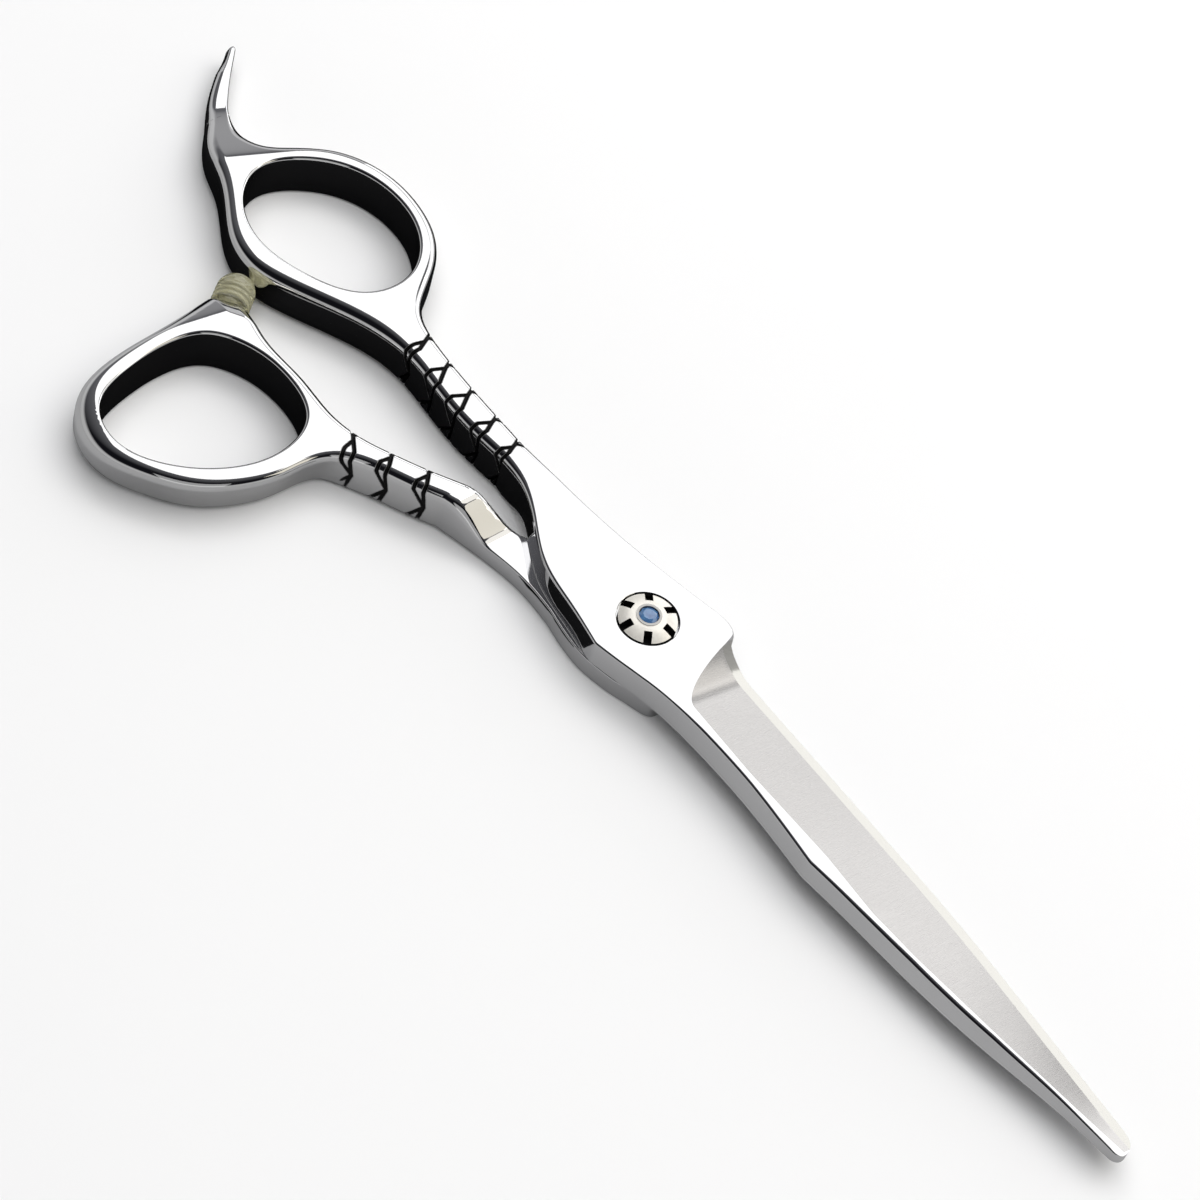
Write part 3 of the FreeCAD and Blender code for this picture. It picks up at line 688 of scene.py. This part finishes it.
def grind_lines(x):
    """Where the plain blade's flat strip ends, where the bevel starts, and the grind's slope."""
    near, far = side_at(PLAIN_NEAR, min(x, TIP_NEAR)), side_at(PLAIN_FAR, min(x, TIP_FAR))
    width = far - near
    strip = by_x(x, (5, -3.0), (22, -2.95), (27, -2.7), (35, -2.35), (39, -2.45), (43, -2.55), (50, -2.0),
                 (62, -0.5), (75, 1.3), (81, 2.2))
    bevel = far - min(1.5, 0.42 * width)
    top = plain_top(x)
    bevel_z = EDGE_LAND + BEVEL_SLOPE * (far - bevel)
    strip = min(strip, bevel - 0.1 * width)
    slope = (top - bevel_z) / (bevel - strip)
    return strip, bevel, far, top, slope


def plain_section(x):
    """Closed (y, z) section of the plain blade, and the places of its grind lines."""
    near, far = side_at(PLAIN_NEAR, x), side_at(PLAIN_FAR, x)
    width = far - near
    strip, bevel, edge, top, slope = grind_lines(x)
    rise = wheel_rise(x)
    floor = PLAIN_FLOOR * float(rising(x, PLAIN_SEAM + 0.6, RAMP_END))
    foot = by_x(x, (PLAIN_SEAM, HANDLE_ROUND), (-23.0, 0.35), (-20.0, 0.2), (3.0, 0.2), (SHOULDER_X, 0.04))
    shoulder = by_x(x, (PLAIN_SEAM, HANDLE_ROUND), (-22, 0.85), (-14, 0.5), (-6, 0.4), (2, 0.3),
                    (10, 0.28), (15, 0.4), (34, 0.45), (42, 0.55), (50, 0.65), (62, 0.6), (70, 0.45),
                    (75, 0.3), (80, 0.2))
    slant = by_x(x, (PLAIN_SEAM, 0.0), (-18, 0.1), (-6, 0.12), (6, 0.12), (15, 0.4), (23, 0.5), (34, 0.4),
                 (42, 0.5), (50, 0.7), (62, 0.7), (70, 0.4), (75, 0.2), (81, 0.05))
    far_round = by_x(x, (PLAIN_SEAM, HANDLE_ROUND), (-21, 0.6), (-14, 0.35), (8, 0.25))
    if width < 3.5:
        shoulder, slant = shoulder * width / 3.5, slant * width / 3.5

    def cap(y):
        """Height of the top at y: the flat, the far rounding, or the ground faces."""
        ground = top - slope * (y - strip)
        bevelled = EDGE_LAND + BEVEL_SLOPE * (edge - y)
        over = max(EDGE_LAND, min(ground, bevelled)) + rise
        corner = top
        if x < SHOULDER_X and y > far - far_round:
            corner = top - far_round + math.sqrt(max(0.0, far_round**2 - (y - far + far_round)**2))
        return min(top, over, corner)

    start = near + slant + shoulder
    shelf = strip
    if rise > 0:
        level_out = edge - (top - EDGE_LAND - rise) / BEVEL_SLOPE
        shelf = min(strip + rise / slope, level_out, far - far_round * 0.999)
    shelf = min(max(shelf, start + 0.01), far - 0.02)
    knee = min(max(bevel, shelf + 0.01), far - 0.01)
    lean = math.degrees(math.atan2(slant, top - floor))
    parts = [arc(start, top - shoulder, shoulder, 180 - lean, 90),
             between((start, top), (shelf, top), 3)]
    ys = np.concatenate([shelf + (knee - shelf) * np.linspace(0, 1, GROUND_STEPS)[:-1],
                         knee + (far - knee) * np.sin(np.linspace(0, np.pi / 2, BEVEL_STEPS))])
    parts.append(np.array([(y, cap(y)) for y in ys]))
    wall_top = cap(far)
    foot = min(foot, (wall_top - floor) * 0.45)
    parts.append(between((far, wall_top), (far, floor + foot), 2))
    parts.append(arc(far - foot, floor + foot, foot, 0, -90))
    parts.append(between((far - foot, floor), (near + foot, floor), 3))
    parts.append(arc(near + foot, floor + foot, foot, -90, -180))
    section = np.concatenate(parts)
    return np.column_stack([np.full(len(section), x), section])


def make_plain_blade():
    """Upper blade, with its pivot bored through."""
    close = [(7.5, 5.5, 0.2), (34.5, 1.5, 0.3), (-0.4, 1.5, 0.3), (80.5, 4.0, 0.12), (-22, 5, 0.4)]
    places = stations(PLAIN_SEAM, 80.47, close)
    blade = loft("plain_blade_body", [plain_section(x) for x in places])
    bore = [(0, 1), (4.45, 1), (4.45, 3.22), (2.3, 3.22), (2.3, 4.35), (3.65, 4.35), (3.65, 6.18),
            (3.68, 6.26), (3.76, 6.31), (4.2, 7.5), (0, 7.5)]
    cut(blade, lathe("plain_bore", bore))
    return blade


def comb_section(x):
    """Closed (y, z) section of the comb blade."""
    near, far = side_at(COMB_NEAR, x), side_at(COMB_FAR, x)
    width = far - near
    top = COMB_TOP + (HANDLE_TOP - COMB_TOP) * (1 - float(rising(x, COMB_SEAM + 0.5, RAMP_END + 0.2)))
    rim = by_x(x, (COMB_SEAM, HANDLE_ROUND), (-22.0, 0.9), (-19.0, 0.3), (-17.0, 0.2), (3.0, 0.2),
               (SHOULDER_X, 0.04))
    floor = by_x(x, (SHOULDER_X, 0.0), (KINK_X, 0.7), (LOFT_END, 1.5))
    foot = by_x(x, (COMB_SEAM, HANDLE_ROUND), (-18, 0.5), (-10, 0.35), (9, 0.3), (LOFT_END, 0.25))
    scale = min(1.0, width / 3.5)
    rim, foot = rim * scale, foot * scale
    level = by_x(x, (SHOULDER_X, 4.0), (KINK_X, 3.6), (LOFT_END, 2.9))
    level = min(level, far - foot - 0.02)
    bevel = by_x(x, (SHOULDER_X, -2.4), (KINK_X, -1.7), (LOFT_END, 1.9))
    bevel = max(bevel, near + 0.3 * width)
    bevel = min(bevel, level - 0.05)
    bevel_z = by_x(x, (SHOULDER_X, 1.55), (KINK_X, 1.65), (LOFT_END, 2.2))
    tip_z = 2.35
    rise = wheel_rise(x, 12.6)

    def under(y):
        """Height of the bottom at y."""
        ground = floor + (bevel_z - floor) * (level - y) / (level - bevel)
        end = bevel_z + (tip_z - bevel_z) * (bevel - y) / max(0.05, bevel - near)
        lifted = (ground if y > bevel else end) - rise
        corner = floor
        if y < near + foot:
            corner = floor + foot - math.sqrt(max(0.0, foot**2 - (near + foot - y)**2))
        return min(max(floor, lifted, corner), top - 0.35)

    parts = [arc(near + rim, top - rim, rim, 180, 90), between((near + rim, top), (far - rim, top), 4),
             arc(far - rim, top - rim, rim, 90, 0), between((far, top - rim), (far, floor + foot), 2),
             arc(far - foot, floor + foot, foot, 0, -90)]
    ys = np.concatenate([far - foot + (level - far + foot) * np.linspace(0, 1, 4)[1:],
                         level + (bevel - level) * np.linspace(0, 1, GROUND_STEPS)[1:],
                         bevel + (near - bevel) * np.sin(np.linspace(0, np.pi / 2, BEVEL_STEPS))[1:]])
    parts.append(np.array([(y, under(y)) for y in ys]))
    section = np.concatenate(parts)
    return np.column_stack([np.full(len(section), x), section])


def tooth_line(x, level, rise):
    """Height in plan of the teeth's tips or roots at x."""
    return level + rise * max(0.0, x - 46.0) / 32.5


def prism(corners, low, high):
    """Vertices and faces of an upright prism over a counter-clockwise outline."""
    count = len(corners)
    vertices = [(x, y, low) for x, y in corners] + [(x, y, high) for x, y in corners]
    faces = [tuple(range(count))[::-1], tuple(range(count, 2 * count))]
    faces += [(i, (i + 1) % count, count + (i + 1) % count, count + i) for i in range(count)]
    return vertices, faces


def make_comb_blade():
    """Lower blade: pivot seat bored, gaps between the teeth, and a notch in each tooth's end."""
    close = [(9.0, 1.5, 0.06), (7.0, 2.5, 0.25), (79.0, 2.5, 0.15), (-21.5, 5, 0.35), (-1.6, 2, 0.3)]
    places = stations(COMB_SEAM, 78.97, close)
    blade = loft("comb_blade_body", [comb_section(x) for x in places])
    bore = [(0, -1), (3.3, -1), (3.3, 0.8), (2.2, 0.8), (2.2, 4), (0, 4)]
    cut(blade, lathe("comb_bore", bore))
    vertices, faces = [], []

    def add_prism(corners):
        more, around = prism(corners, -1.0, 4.0)
        start = len(vertices)
        vertices.extend(more)
        faces.extend(tuple(start + i for i in face) for face in around)

    half_gap = TOOTH_GAP / 2
    for number in range(TOOTH_COUNT):
        middle = TOOTH_FIRST + number * TOOTH_PITCH
        left = middle - TOOTH_PITCH / 2
        root = tooth_line(left, 0.9, 1.9) - half_gap
        bottom = [(left - half_gap, -7.0), (left + half_gap, -7.0)]
        round_end = [(left + half_gap * math.cos(a), root + half_gap * math.sin(a))
                     for a in np.linspace(0, math.pi, 9)]
        add_prism(bottom + round_end)
        tip = tooth_line(middle, -3.5, 5.2)
        add_prism([(middle - 0.34, tip - 0.06), (middle - 0.34, tip - 0.6), (middle + 0.34, tip - 0.6),
                   (middle + 0.34, tip - 0.06), (middle, tip + TOOTH_NOTCH)])
    cut(blade, add_mesh("tooth_gaps", vertices, faces))
    return blade


# ---------------------------------------------------------------------------------------------
# Small parts
# ---------------------------------------------------------------------------------------------
def make_bumper():
    """Ribbed silencer plug with a domed end, on the thumb ring's boss."""
    radius, barrel = 2.4, 2.28
    profile = [(0, -3.0), (0.98, -3.0), (0.98, 0.0), (1.9, 0.0), (2.1, 0.05)]
    for rib in range(3):
        middle = 0.38 + rib * 0.76
        for angle in np.linspace(-80, 80, 9):
            a = math.radians(angle)
            profile.append((2.13 + 0.27 * math.cos(a), middle + 0.33 * math.sin(a)))
    for angle in np.linspace(8, 86, 14):
        a = math.radians(angle)
        profile.append((radius * math.cos(a), barrel + radius * math.sin(a)))
    profile.append((0, barrel + radius))
    plug = lathe("silencer_plug", profile, 64)
    heading = math.radians(126.5)
    along = Vector((math.cos(heading), math.sin(heading), 0))
    turn = along.to_track_quat("Z", "Y").to_matrix().to_4x4()
    plug.data.transform(Matrix.Translation(Vector((-62.2, -13.1, HANDLE_TOP / 2)) * MM) @ turn)
    return plug


def make_stone():
    """Cut stone: table, star and kite facets over a pointed pavilion."""
    count = 8
    rings = [(0.72, 7.20, 0.0), (1.02, 7.02, 0.5), (1.2, 6.87, 0.0), (1.2, 6.84, 0.0), (0.62, 6.6, 0.5),
             (0.12, 6.40, 0.0)]
    vertices = []
    for radius, height, turn in rings:
        for i in range(count):
            angle = 2 * math.pi * (i + turn) / count
            vertices.append((radius * math.cos(angle), radius * math.sin(angle), height))
    faces = [tuple(range(count)), tuple(range((len(rings) - 1) * count, len(rings) * count))[::-1]]
    for row in range(len(rings) - 1):
        low, high = row * count, (row + 1) * count
        shifted = rings[row + 1][2] - rings[row][2]
        for i in range(count):
            j = (i + 1) % count
            if shifted == 0:
                faces.append((low + i, high + i, high + j, low + j))
            elif shifted > 0:
                faces.append((low + i, high + i, low + j))
                faces.append((low + j, high + i, high + j))
            else:
                faces.append((low + i, high + i, high + j))
                faces.append((low + i, high + j, low + j))
    stone = add_mesh("cut_stone", vertices, faces, smooth=False)
    outward(stone)
    return stone


# ---------------------------------------------------------------------------------------------
# Materials
# ---------------------------------------------------------------------------------------------
def add_node(tree, kind, **sockets):
    """New node in a tree, with its named sockets set."""
    made = tree.nodes.new(kind)
    for key, value in sockets.items():
        made.inputs[key.replace("_", " ")].default_value = value
    return made


class Recipe:
    """A node material with short calls for the nodes that these finishes share."""

    def __init__(self, name, **sockets):
        self.material = bpy.data.materials.new(name)
        self.material.use_nodes = True
        self.tree = self.material.node_tree
        self.shader = self.tree.nodes["Principled BSDF"]
        for key, value in sockets.items():
            self.shader.inputs[key.replace("_", " ")].default_value = value
        self.place = self.node("ShaderNodeTexCoord").outputs["Object"]

    def node(self, kind, **sockets):
        return add_node(self.tree, kind, **sockets)

    def link(self, source, target):
        self.tree.links.new(source, target)

    def stretched(self, scale, turn=(0, 0, 0)):
        """Object coordinates scaled per axis, for streaks."""
        mapping = self.node("ShaderNodeMapping", Scale=scale, Rotation=turn)
        self.link(self.place, mapping.inputs["Vector"])
        return mapping.outputs["Vector"]

    def noise(self, scale, detail=3.0, turn=0.0):
        """Noise at a scale per axis, turned about the third: even clouds, or streaks."""
        made = self.node("ShaderNodeTexNoise", Scale=1.0, Detail=detail, Roughness=0.55)
        self.link(self.stretched(scale, (0, 0, turn)), made.inputs["Vector"])
        return made.outputs["Fac"]

    def cloud(self, scale, detail=3.0):
        return self.noise((scale, scale, scale), detail)

    def product(self, first, second):
        made = self.node("ShaderNodeMath")
        made.operation = "MULTIPLY"
        self.link(first, made.inputs[0])
        self.link(second, made.inputs[1])
        return made.outputs["Value"]

    def upward(self, vector):
        """The third part of a vector."""
        made = self.node("ShaderNodeSeparateXYZ")
        self.link(vector, made.inputs["Vector"])
        return made.outputs["Z"]

    def spread(self, value, low, high, to_low, to_high):
        """Map a range of a value to another."""
        made = self.node("ShaderNodeMapRange", From_Min=low, From_Max=high, To_Min=to_low, To_Max=to_high)
        self.link(value, made.inputs["Value"])
        return made.outputs["Result"]

    def tint(self, value, dark, light):
        """Base colour between two colours."""
        ramp = self.node("ShaderNodeValToRGB")
        ramp.color_ramp.elements[0].color = (*dark, 1)
        ramp.color_ramp.elements[1].color = (*light, 1)
        self.link(value, ramp.inputs["Fac"])
        self.link(ramp.outputs["Color"], self.shader.inputs["Base Color"])

    def bump(self, value, strength, distance):
        made = self.node("ShaderNodeBump", Strength=strength, Distance=distance)
        self.link(value, made.inputs["Height"])
        self.link(made.outputs["Normal"], self.shader.inputs["Normal"])

    def mixed(self, share, plain, other):
        """A value that goes to another number as share goes from 0 to 1."""
        made = self.node("ShaderNodeMix")
        made.inputs["B"].default_value = other
        self.link(share, made.inputs["Factor"])
        self.link(plain, made.inputs["A"])
        return made.outputs["Result"]

    def rough(self, value, low, high):
        self.link(self.spread(value, 0.3, 0.7, low, high), self.shader.inputs["Roughness"])


def polished_steel():
    """Mirror-polished steel, with faint buffing haze and hairline scratches."""
    recipe = Recipe("polished_steel", Metallic=1.0)
    haze = recipe.cloud(60, 4.0)
    recipe.rough(haze, 0.035, 0.075)
    recipe.tint(haze, (0.80, 0.80, 0.805), (0.87, 0.87, 0.872))
    hairs = recipe.noise((260, 9000, 9000), 2.0, 0.35)
    recipe.bump(hairs, 0.02, 0.00002)
    return recipe.material


def etched_steel():
    """Polished steel whose engraved lines are darkened, where the mesh says it is etched."""
    recipe = Recipe("etched_steel", Metallic=1.0)
    etched = recipe.node("ShaderNodeAttribute")
    etched.attribute_name = "etched"
    haze = recipe.cloud(60, 4.0)
    shade = recipe.mixed(etched.outputs["Fac"], recipe.spread(haze, 0.3, 0.7, 0.80, 0.87), 0.02)
    recipe.tint(shade, (0.0, 0.0, 0.0), (1.0, 1.0, 1.0))
    rough = recipe.mixed(etched.outputs["Fac"], recipe.spread(haze, 0.3, 0.7, 0.035, 0.075), 0.55)
    recipe.link(rough, recipe.shader.inputs["Roughness"])
    return recipe.material


def ground_steel():
    """Satin ground face, its fine wheel marks running across the blade."""
    recipe = Recipe("ground_steel", Metallic=1.0)
    marks = recipe.noise((22000, 260, 260), 3.0, 0.12)
    recipe.rough(marks, 0.20, 0.30)
    cloud = recipe.cloud(90)
    recipe.tint(cloud, (0.62, 0.605, 0.59), (0.67, 0.655, 0.64))
    recipe.bump(marks, 0.05, 0.00002)
    return recipe.material


def honed_steel():
    """Honed bevel along the cutting edge."""
    recipe = Recipe("honed_steel", Metallic=1.0)
    marks = recipe.noise((14000, 400, 400), 2.0, -0.3)
    recipe.rough(marks, 0.10, 0.18)
    recipe.tint(marks, (0.60, 0.59, 0.55), (0.66, 0.65, 0.61))
    recipe.bump(marks, 0.04, 0.00002)
    return recipe.material


def turned_steel(name="turned_steel", dark=(0.74, 0.71, 0.65), light=(0.86, 0.83, 0.77)):
    """Lathe-turned metal with rings round the pivot axis."""
    recipe = Recipe(name, Metallic=1.0)
    rings = recipe.node("ShaderNodeTexWave", Scale=900.0, Distortion=0.6, Detail=2.0)
    rings.wave_type = "RINGS"
    rings.rings_direction = "Z"
    recipe.link(recipe.stretched((1, 1, 1)), rings.inputs["Vector"])
    recipe.rough(rings.outputs["Fac"], 0.26, 0.38)
    cloud = recipe.cloud(400)
    recipe.tint(cloud, dark, light)
    recipe.bump(rings.outputs["Fac"], 0.04, 0.00001)
    return recipe.material


def blasted_head():
    """Fine-blasted pale screw head; painted shade blackens its steep faces and all below the head's top,
    such as the notches and rim.
    """
    recipe = Recipe("blasted_head", Metallic=0.45)
    geometry = recipe.node("ShaderNodeNewGeometry")
    # Painted shade: faces that don't face upward go black.
    level = recipe.spread(recipe.upward(geometry.outputs["Normal"]), 0.35, 0.6, 0.0, 1.0)
    # Painted shade: everything below the head's top, in the notches and rim, goes black.
    recess_shade_mask = recipe.spread(recipe.upward(recipe.place), 0.0061, 0.00625, 0.0, 1.0)
    grain = recipe.cloud(3000)
    recipe.rough(grain, 0.30, 0.42)
    tone = recipe.spread(grain, 0.3, 0.7, 0.93, 1.0)
    # Both painted shade masks, times the grain's tone, set the base colour.
    shade = recipe.product(recipe.product(level, recess_shade_mask), tone)
    recipe.tint(shade, (0.012, 0.012, 0.012), (0.92, 0.89, 0.82))
    recipe.bump(grain, 0.05, 0.00001)
    return recipe.material


def moulded_nylon():
    """Off-white nylon with a faint moulded grain."""
    recipe = Recipe("moulded_nylon", Subsurface_Weight=0.2, Subsurface_Scale=0.001)
    grain = recipe.cloud(2500)
    recipe.rough(grain, 0.42, 0.55)
    recipe.tint(grain, (0.74, 0.72, 0.66), (0.82, 0.80, 0.75))
    recipe.bump(grain, 0.1, 0.00003)
    return recipe.material


def clear_rubber():
    """Translucent, slightly yellowed silicone rubber."""
    recipe = Recipe("clear_rubber", Transmission_Weight=0.75, IOR=1.45, Specular_IOR_Level=0.8,
                    Coat_Weight=0.6, Coat_Roughness=0.04)
    cloud = recipe.cloud(500)
    recipe.rough(cloud, 0.05, 0.12)
    recipe.tint(cloud, (0.74, 0.71, 0.44), (0.93, 0.91, 0.68))
    recipe.bump(cloud, 0.06, 0.00005)
    return recipe.material


def blue_stone():
    """Blue cut stone, with colour zoning."""
    recipe = Recipe("blue_stone", Transmission_Weight=0.45, IOR=1.9, Specular_IOR_Level=0.9)
    zones = recipe.cloud(900, 2.0)
    recipe.rough(zones, 0.0, 0.03)
    recipe.tint(zones, (0.01, 0.05, 0.26), (0.25, 0.58, 1.0))
    return recipe.material


def pale_floor():
    """Matt pale tabletop with a hardly visible mottling, painted dim grey where the steel reflects it: a
    painted shade in the reflections.
    """
    recipe = Recipe("pale_floor", Specular_IOR_Level=0.1)
    cloud = recipe.cloud(8, 4.0)
    recipe.rough(cloud, 0.7, 0.8)
    recipe.tint(cloud, (0.85, 0.85, 0.855), (0.88, 0.88, 0.88))
    # Painted shade: glossy rays see the floor as a dim grey diffuse, so the steel's reflections of it are
    # darker than the floor.
    painted_reflection_shade = recipe.node("ShaderNodeBsdfDiffuse", Color=(0.36, 0.36, 0.365, 1))
    path = recipe.node("ShaderNodeLightPath")
    mix = recipe.node("ShaderNodeMixShader")
    output = recipe.tree.nodes["Material Output"]
    recipe.link(path.outputs["Is Glossy Ray"], mix.inputs["Fac"])
    recipe.link(recipe.shader.outputs["BSDF"], mix.inputs[1])
    recipe.link(painted_reflection_shade.outputs["BSDF"], mix.inputs[2])
    recipe.link(mix.outputs["Shader"], output.inputs["Surface"])
    return recipe.material


def black_card():
    """Dull black card that keeps the steel's reflections dark."""
    recipe = Recipe("black_card", Specular_IOR_Level=0.0, Roughness=1.0)
    cloud = recipe.cloud(40)
    recipe.tint(cloud, (0.004, 0.004, 0.004), (0.012, 0.012, 0.013))
    return recipe.material


def paint(piece, *materials):
    """Give a piece its materials in place of any that it has."""
    piece.data.materials.clear()
    for material in materials:
        piece.data.materials.append(material)


def paint_grind(blade):
    """Second finish on the ground face and third on the bevel, by where each face lies."""
    marks = []
    for face in blade.data.polygons:
        x, y, z = (value / MM for value in face.center)
        index = 0
        if 6.0 < x < 80.2 and face.normal.z > 0.25 and z > EDGE_LAND - 0.05:
            strip, bevel, _, top, slope = grind_lines(x)
            shelf = strip + wheel_rise(x) / slope
            if y > shelf + 0.01 and z < top - 0.01:
                index = 2 if y > bevel and x > 7.2 else 1
        marks.append(index)
    blade.data.polygons.foreach_set("material_index", marks)
    blade.data.update()


# ---------------------------------------------------------------------------------------------
# Build
# ---------------------------------------------------------------------------------------------
polished = polished_steel()
turned = turned_steel()
dark_steel = turned_steel("bezel_steel", (0.40, 0.39, 0.37), (0.55, 0.54, 0.52))
bronze = turned_steel("bearing_bronze", (0.50, 0.33, 0.14), (0.66, 0.46, 0.22))
nylon = moulded_nylon()

handles = make_handles()
for node, piece in handles.items():
    paint(piece, etched_steel() if node != "finger_rest" else polished)
    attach(piece, "comb_half" if node == "thumb_handle" else "plain_half")
    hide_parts(node)

plain_blade = make_plain_blade()
paint(plain_blade, polished, ground_steel(), honed_steel())
paint_grind(plain_blade)
crease(plain_blade, 8.5)
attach(plain_blade, "plain_half")
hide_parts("plain_blade")

comb_blade = make_comb_blade()
paint(comb_blade, polished)
crease(comb_blade, 8.5)
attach(comb_blade, "comb_half")
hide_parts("comb_blade")

bumper = make_bumper()
paint(bumper, clear_rubber())
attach(bumper, "comb_half")
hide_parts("bumper")

stone = make_stone()
paint(stone, blue_stone())
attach(stone, "screw")
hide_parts("crystal")

finishes = {"tension_screw": blasted_head(), "crystal_bezel": dark_steel, "pivot_nut": turned,
            "spring_washer": turned, "pivot_bush": bronze, "glide_washer": nylon, "head_washer": nylon}
for node, material in finishes.items():
    paint(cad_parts[node], material)

# ---------------------------------------------------------------------------------------------
# Stage
# ---------------------------------------------------------------------------------------------
REACH = 2000.0
floor = add_mesh("floor", [(-REACH, -REACH, -0.02), (REACH, -REACH, -0.02), (REACH, REACH, -0.02),
                           (-REACH, REACH, -0.02)], [(0, 1, 2, 3)])
paint(floor, pale_floor())

# Cards that only the steel sees: between the handles, inside the thumb ring and beside the bolster
CARDS = {
    "handle_card": [(-110, -9), (-66, -14.5), (-57, -12), (-44, -13), (-36, -11), (-24, -4), (-14, -1),
                    (-8, 30), (-110, 40)],
    "ring_card": [(-59.6, -24), (-58.8, -18.6), (-55, -15.8), (-48, -14.2), (-42.2, -16), (-39.8, -22),
                  (-40.8, -28.5), (-45, -34.8), (-50.8, -38), (-56, -36.8), (-59.4, -30)],
    "bolster_card": [(-15, -8.6), (-13.5, -8.1), (-8.5, -8.1), (-4.2, -9.0), (-6, -14), (-13, -14)],
}
card_black = black_card()
for name, corners in CARDS.items():
    card = add_mesh(name, [(x, y, -0.01) for x, y in corners], [tuple(range(len(corners)))])
    paint(card, card_black)
    card.visible_camera = False
    card.visible_diffuse = False
    card.visible_shadow = False
    card.visible_transmission = False

CENTRE = Vector((-8.0, -12.0, 0.0)) * MM


def add_light(name, direction, distance, width, height, power, glossy=True, color=(1, 1, 1)):
    """Rectangular soft light that faces the shears from a direction, sizes in metres."""
    lamp = bpy.data.lights.new(name, "AREA")
    lamp.shape = "RECTANGLE"
    lamp.size = width
    lamp.size_y = height
    lamp.energy = power
    lamp.color = color
    light = bpy.data.objects.new(name, lamp)
    bpy.context.scene.collection.objects.link(light)
    toward = Vector(direction).normalized()
    light.location = CENTRE + toward * distance
    light.rotation_euler = toward.to_track_quat("Z", "Y").to_euler()
    light.visible_glossy = glossy
    light.visible_camera = False


add_light("key", (-0.368, 0.490, 0.790), 0.75, 0.70, 0.64, 1.66)
add_light("side", (-0.25, 0.93, 0.20), 0.8, 0.75, 0.42, 0.9)
add_light("right", (0.61, 0.49, 0.62), 0.8, 0.45, 0.36, 0.42, color=(1.0, 0.95, 0.82))
add_light("between", (0.22, 0.56, 0.80), 0.8, 0.30, 0.32, 0.3, color=(1.0, 0.97, 0.90))
add_light("scoop", (0.38, 0.80, 0.46), 0.8, 0.58, 0.32, 0.5, color=(1.0, 0.98, 0.94))
add_light("behind", (0.66, -0.52, 0.50), 1.1, 0.9, 0.7, 0.7)
add_light("overhead", (0.1, 0.1, 1.0), 1.2, 1.8, 1.8, 16.8, glossy=False)

world = bpy.data.worlds.new("studio")
bpy.context.scene.world = world
world.use_nodes = True
world.node_tree.nodes.clear()


def sky_node(kind, **sockets):
    return add_node(world.node_tree, kind, **sockets)


# Sky: black, with a soft glow round the key and a grey band over the horizon; the eye sees plain pale grey
coords = sky_node("ShaderNodeTexCoord")
dot = sky_node("ShaderNodeVectorMath")
dot.operation = "DOT_PRODUCT"
dot.inputs[1].default_value = (-0.43, 0.60, 0.67)
shift = sky_node("ShaderNodeMapRange", From_Min=-1.0, From_Max=1.0)
ramp = sky_node("ShaderNodeValToRGB")
ramp.color_ramp.elements[0].position = 0.62
ramp.color_ramp.elements[0].color = (0.006, 0.006, 0.008, 1)
ramp.color_ramp.elements[1].color = (0.14, 0.14, 0.15, 1)
room = sky_node("ShaderNodeBackground")
height = sky_node("ShaderNodeSeparateXYZ")
band = sky_node("ShaderNodeMapRange", From_Min=0.40, From_Max=0.24, To_Max=0.45)
horizon = sky_node("ShaderNodeBackground", Color=(1.0, 1.0, 1.0, 1))
both = sky_node("ShaderNodeAddShader")
seen = sky_node("ShaderNodeBackground", Color=(0.80, 0.80, 0.81, 1))
path = sky_node("ShaderNodeLightPath")
mix = sky_node("ShaderNodeMixShader")
output = sky_node("ShaderNodeOutputWorld")
for source, target in [
        (coords.outputs["Generated"], dot.inputs[0]),
        (dot.outputs["Value"], shift.inputs["Value"]),
        (shift.outputs["Result"], ramp.inputs["Fac"]),
        (ramp.outputs["Color"], room.inputs["Color"]),
        (coords.outputs["Generated"], height.inputs["Vector"]),
        (height.outputs["Z"], band.inputs["Value"]),
        (band.outputs["Result"], horizon.inputs["Strength"]),
        (room.outputs["Background"], both.inputs[0]),
        (horizon.outputs["Background"], both.inputs[1]),
        (path.outputs["Is Camera Ray"], mix.inputs["Fac"]),
        (both.outputs["Shader"], mix.inputs[1]),
        (seen.outputs["Background"], mix.inputs[2]),
        (mix.outputs["Shader"], output.inputs["Surface"])]:
    world.node_tree.links.new(source, target)
bpy.context.scene.view_settings.view_transform = "Standard"

camera_data = bpy.data.cameras.new("camera")
camera_data.lens = 128.16
camera_data.sensor_width = 36.0
camera_data.clip_start = 0.01
camera_data.clip_end = 20.0
camera = bpy.data.objects.new("camera", camera_data)
bpy.context.scene.collection.objects.link(camera)
right = Vector((0.6115, 0.7677, 0.1914)).normalized()
back = Vector((0.368, -0.490, 0.790)).normalized()
up = back.cross(right).normalized()
right = up.cross(back)
turn = Matrix((right, up, back)).transposed().to_4x4()
camera.matrix_world = Matrix.Translation(Vector((171.9, -238.5, 385.75)) * MM) @ turn
bpy.context.scene.camera = camera
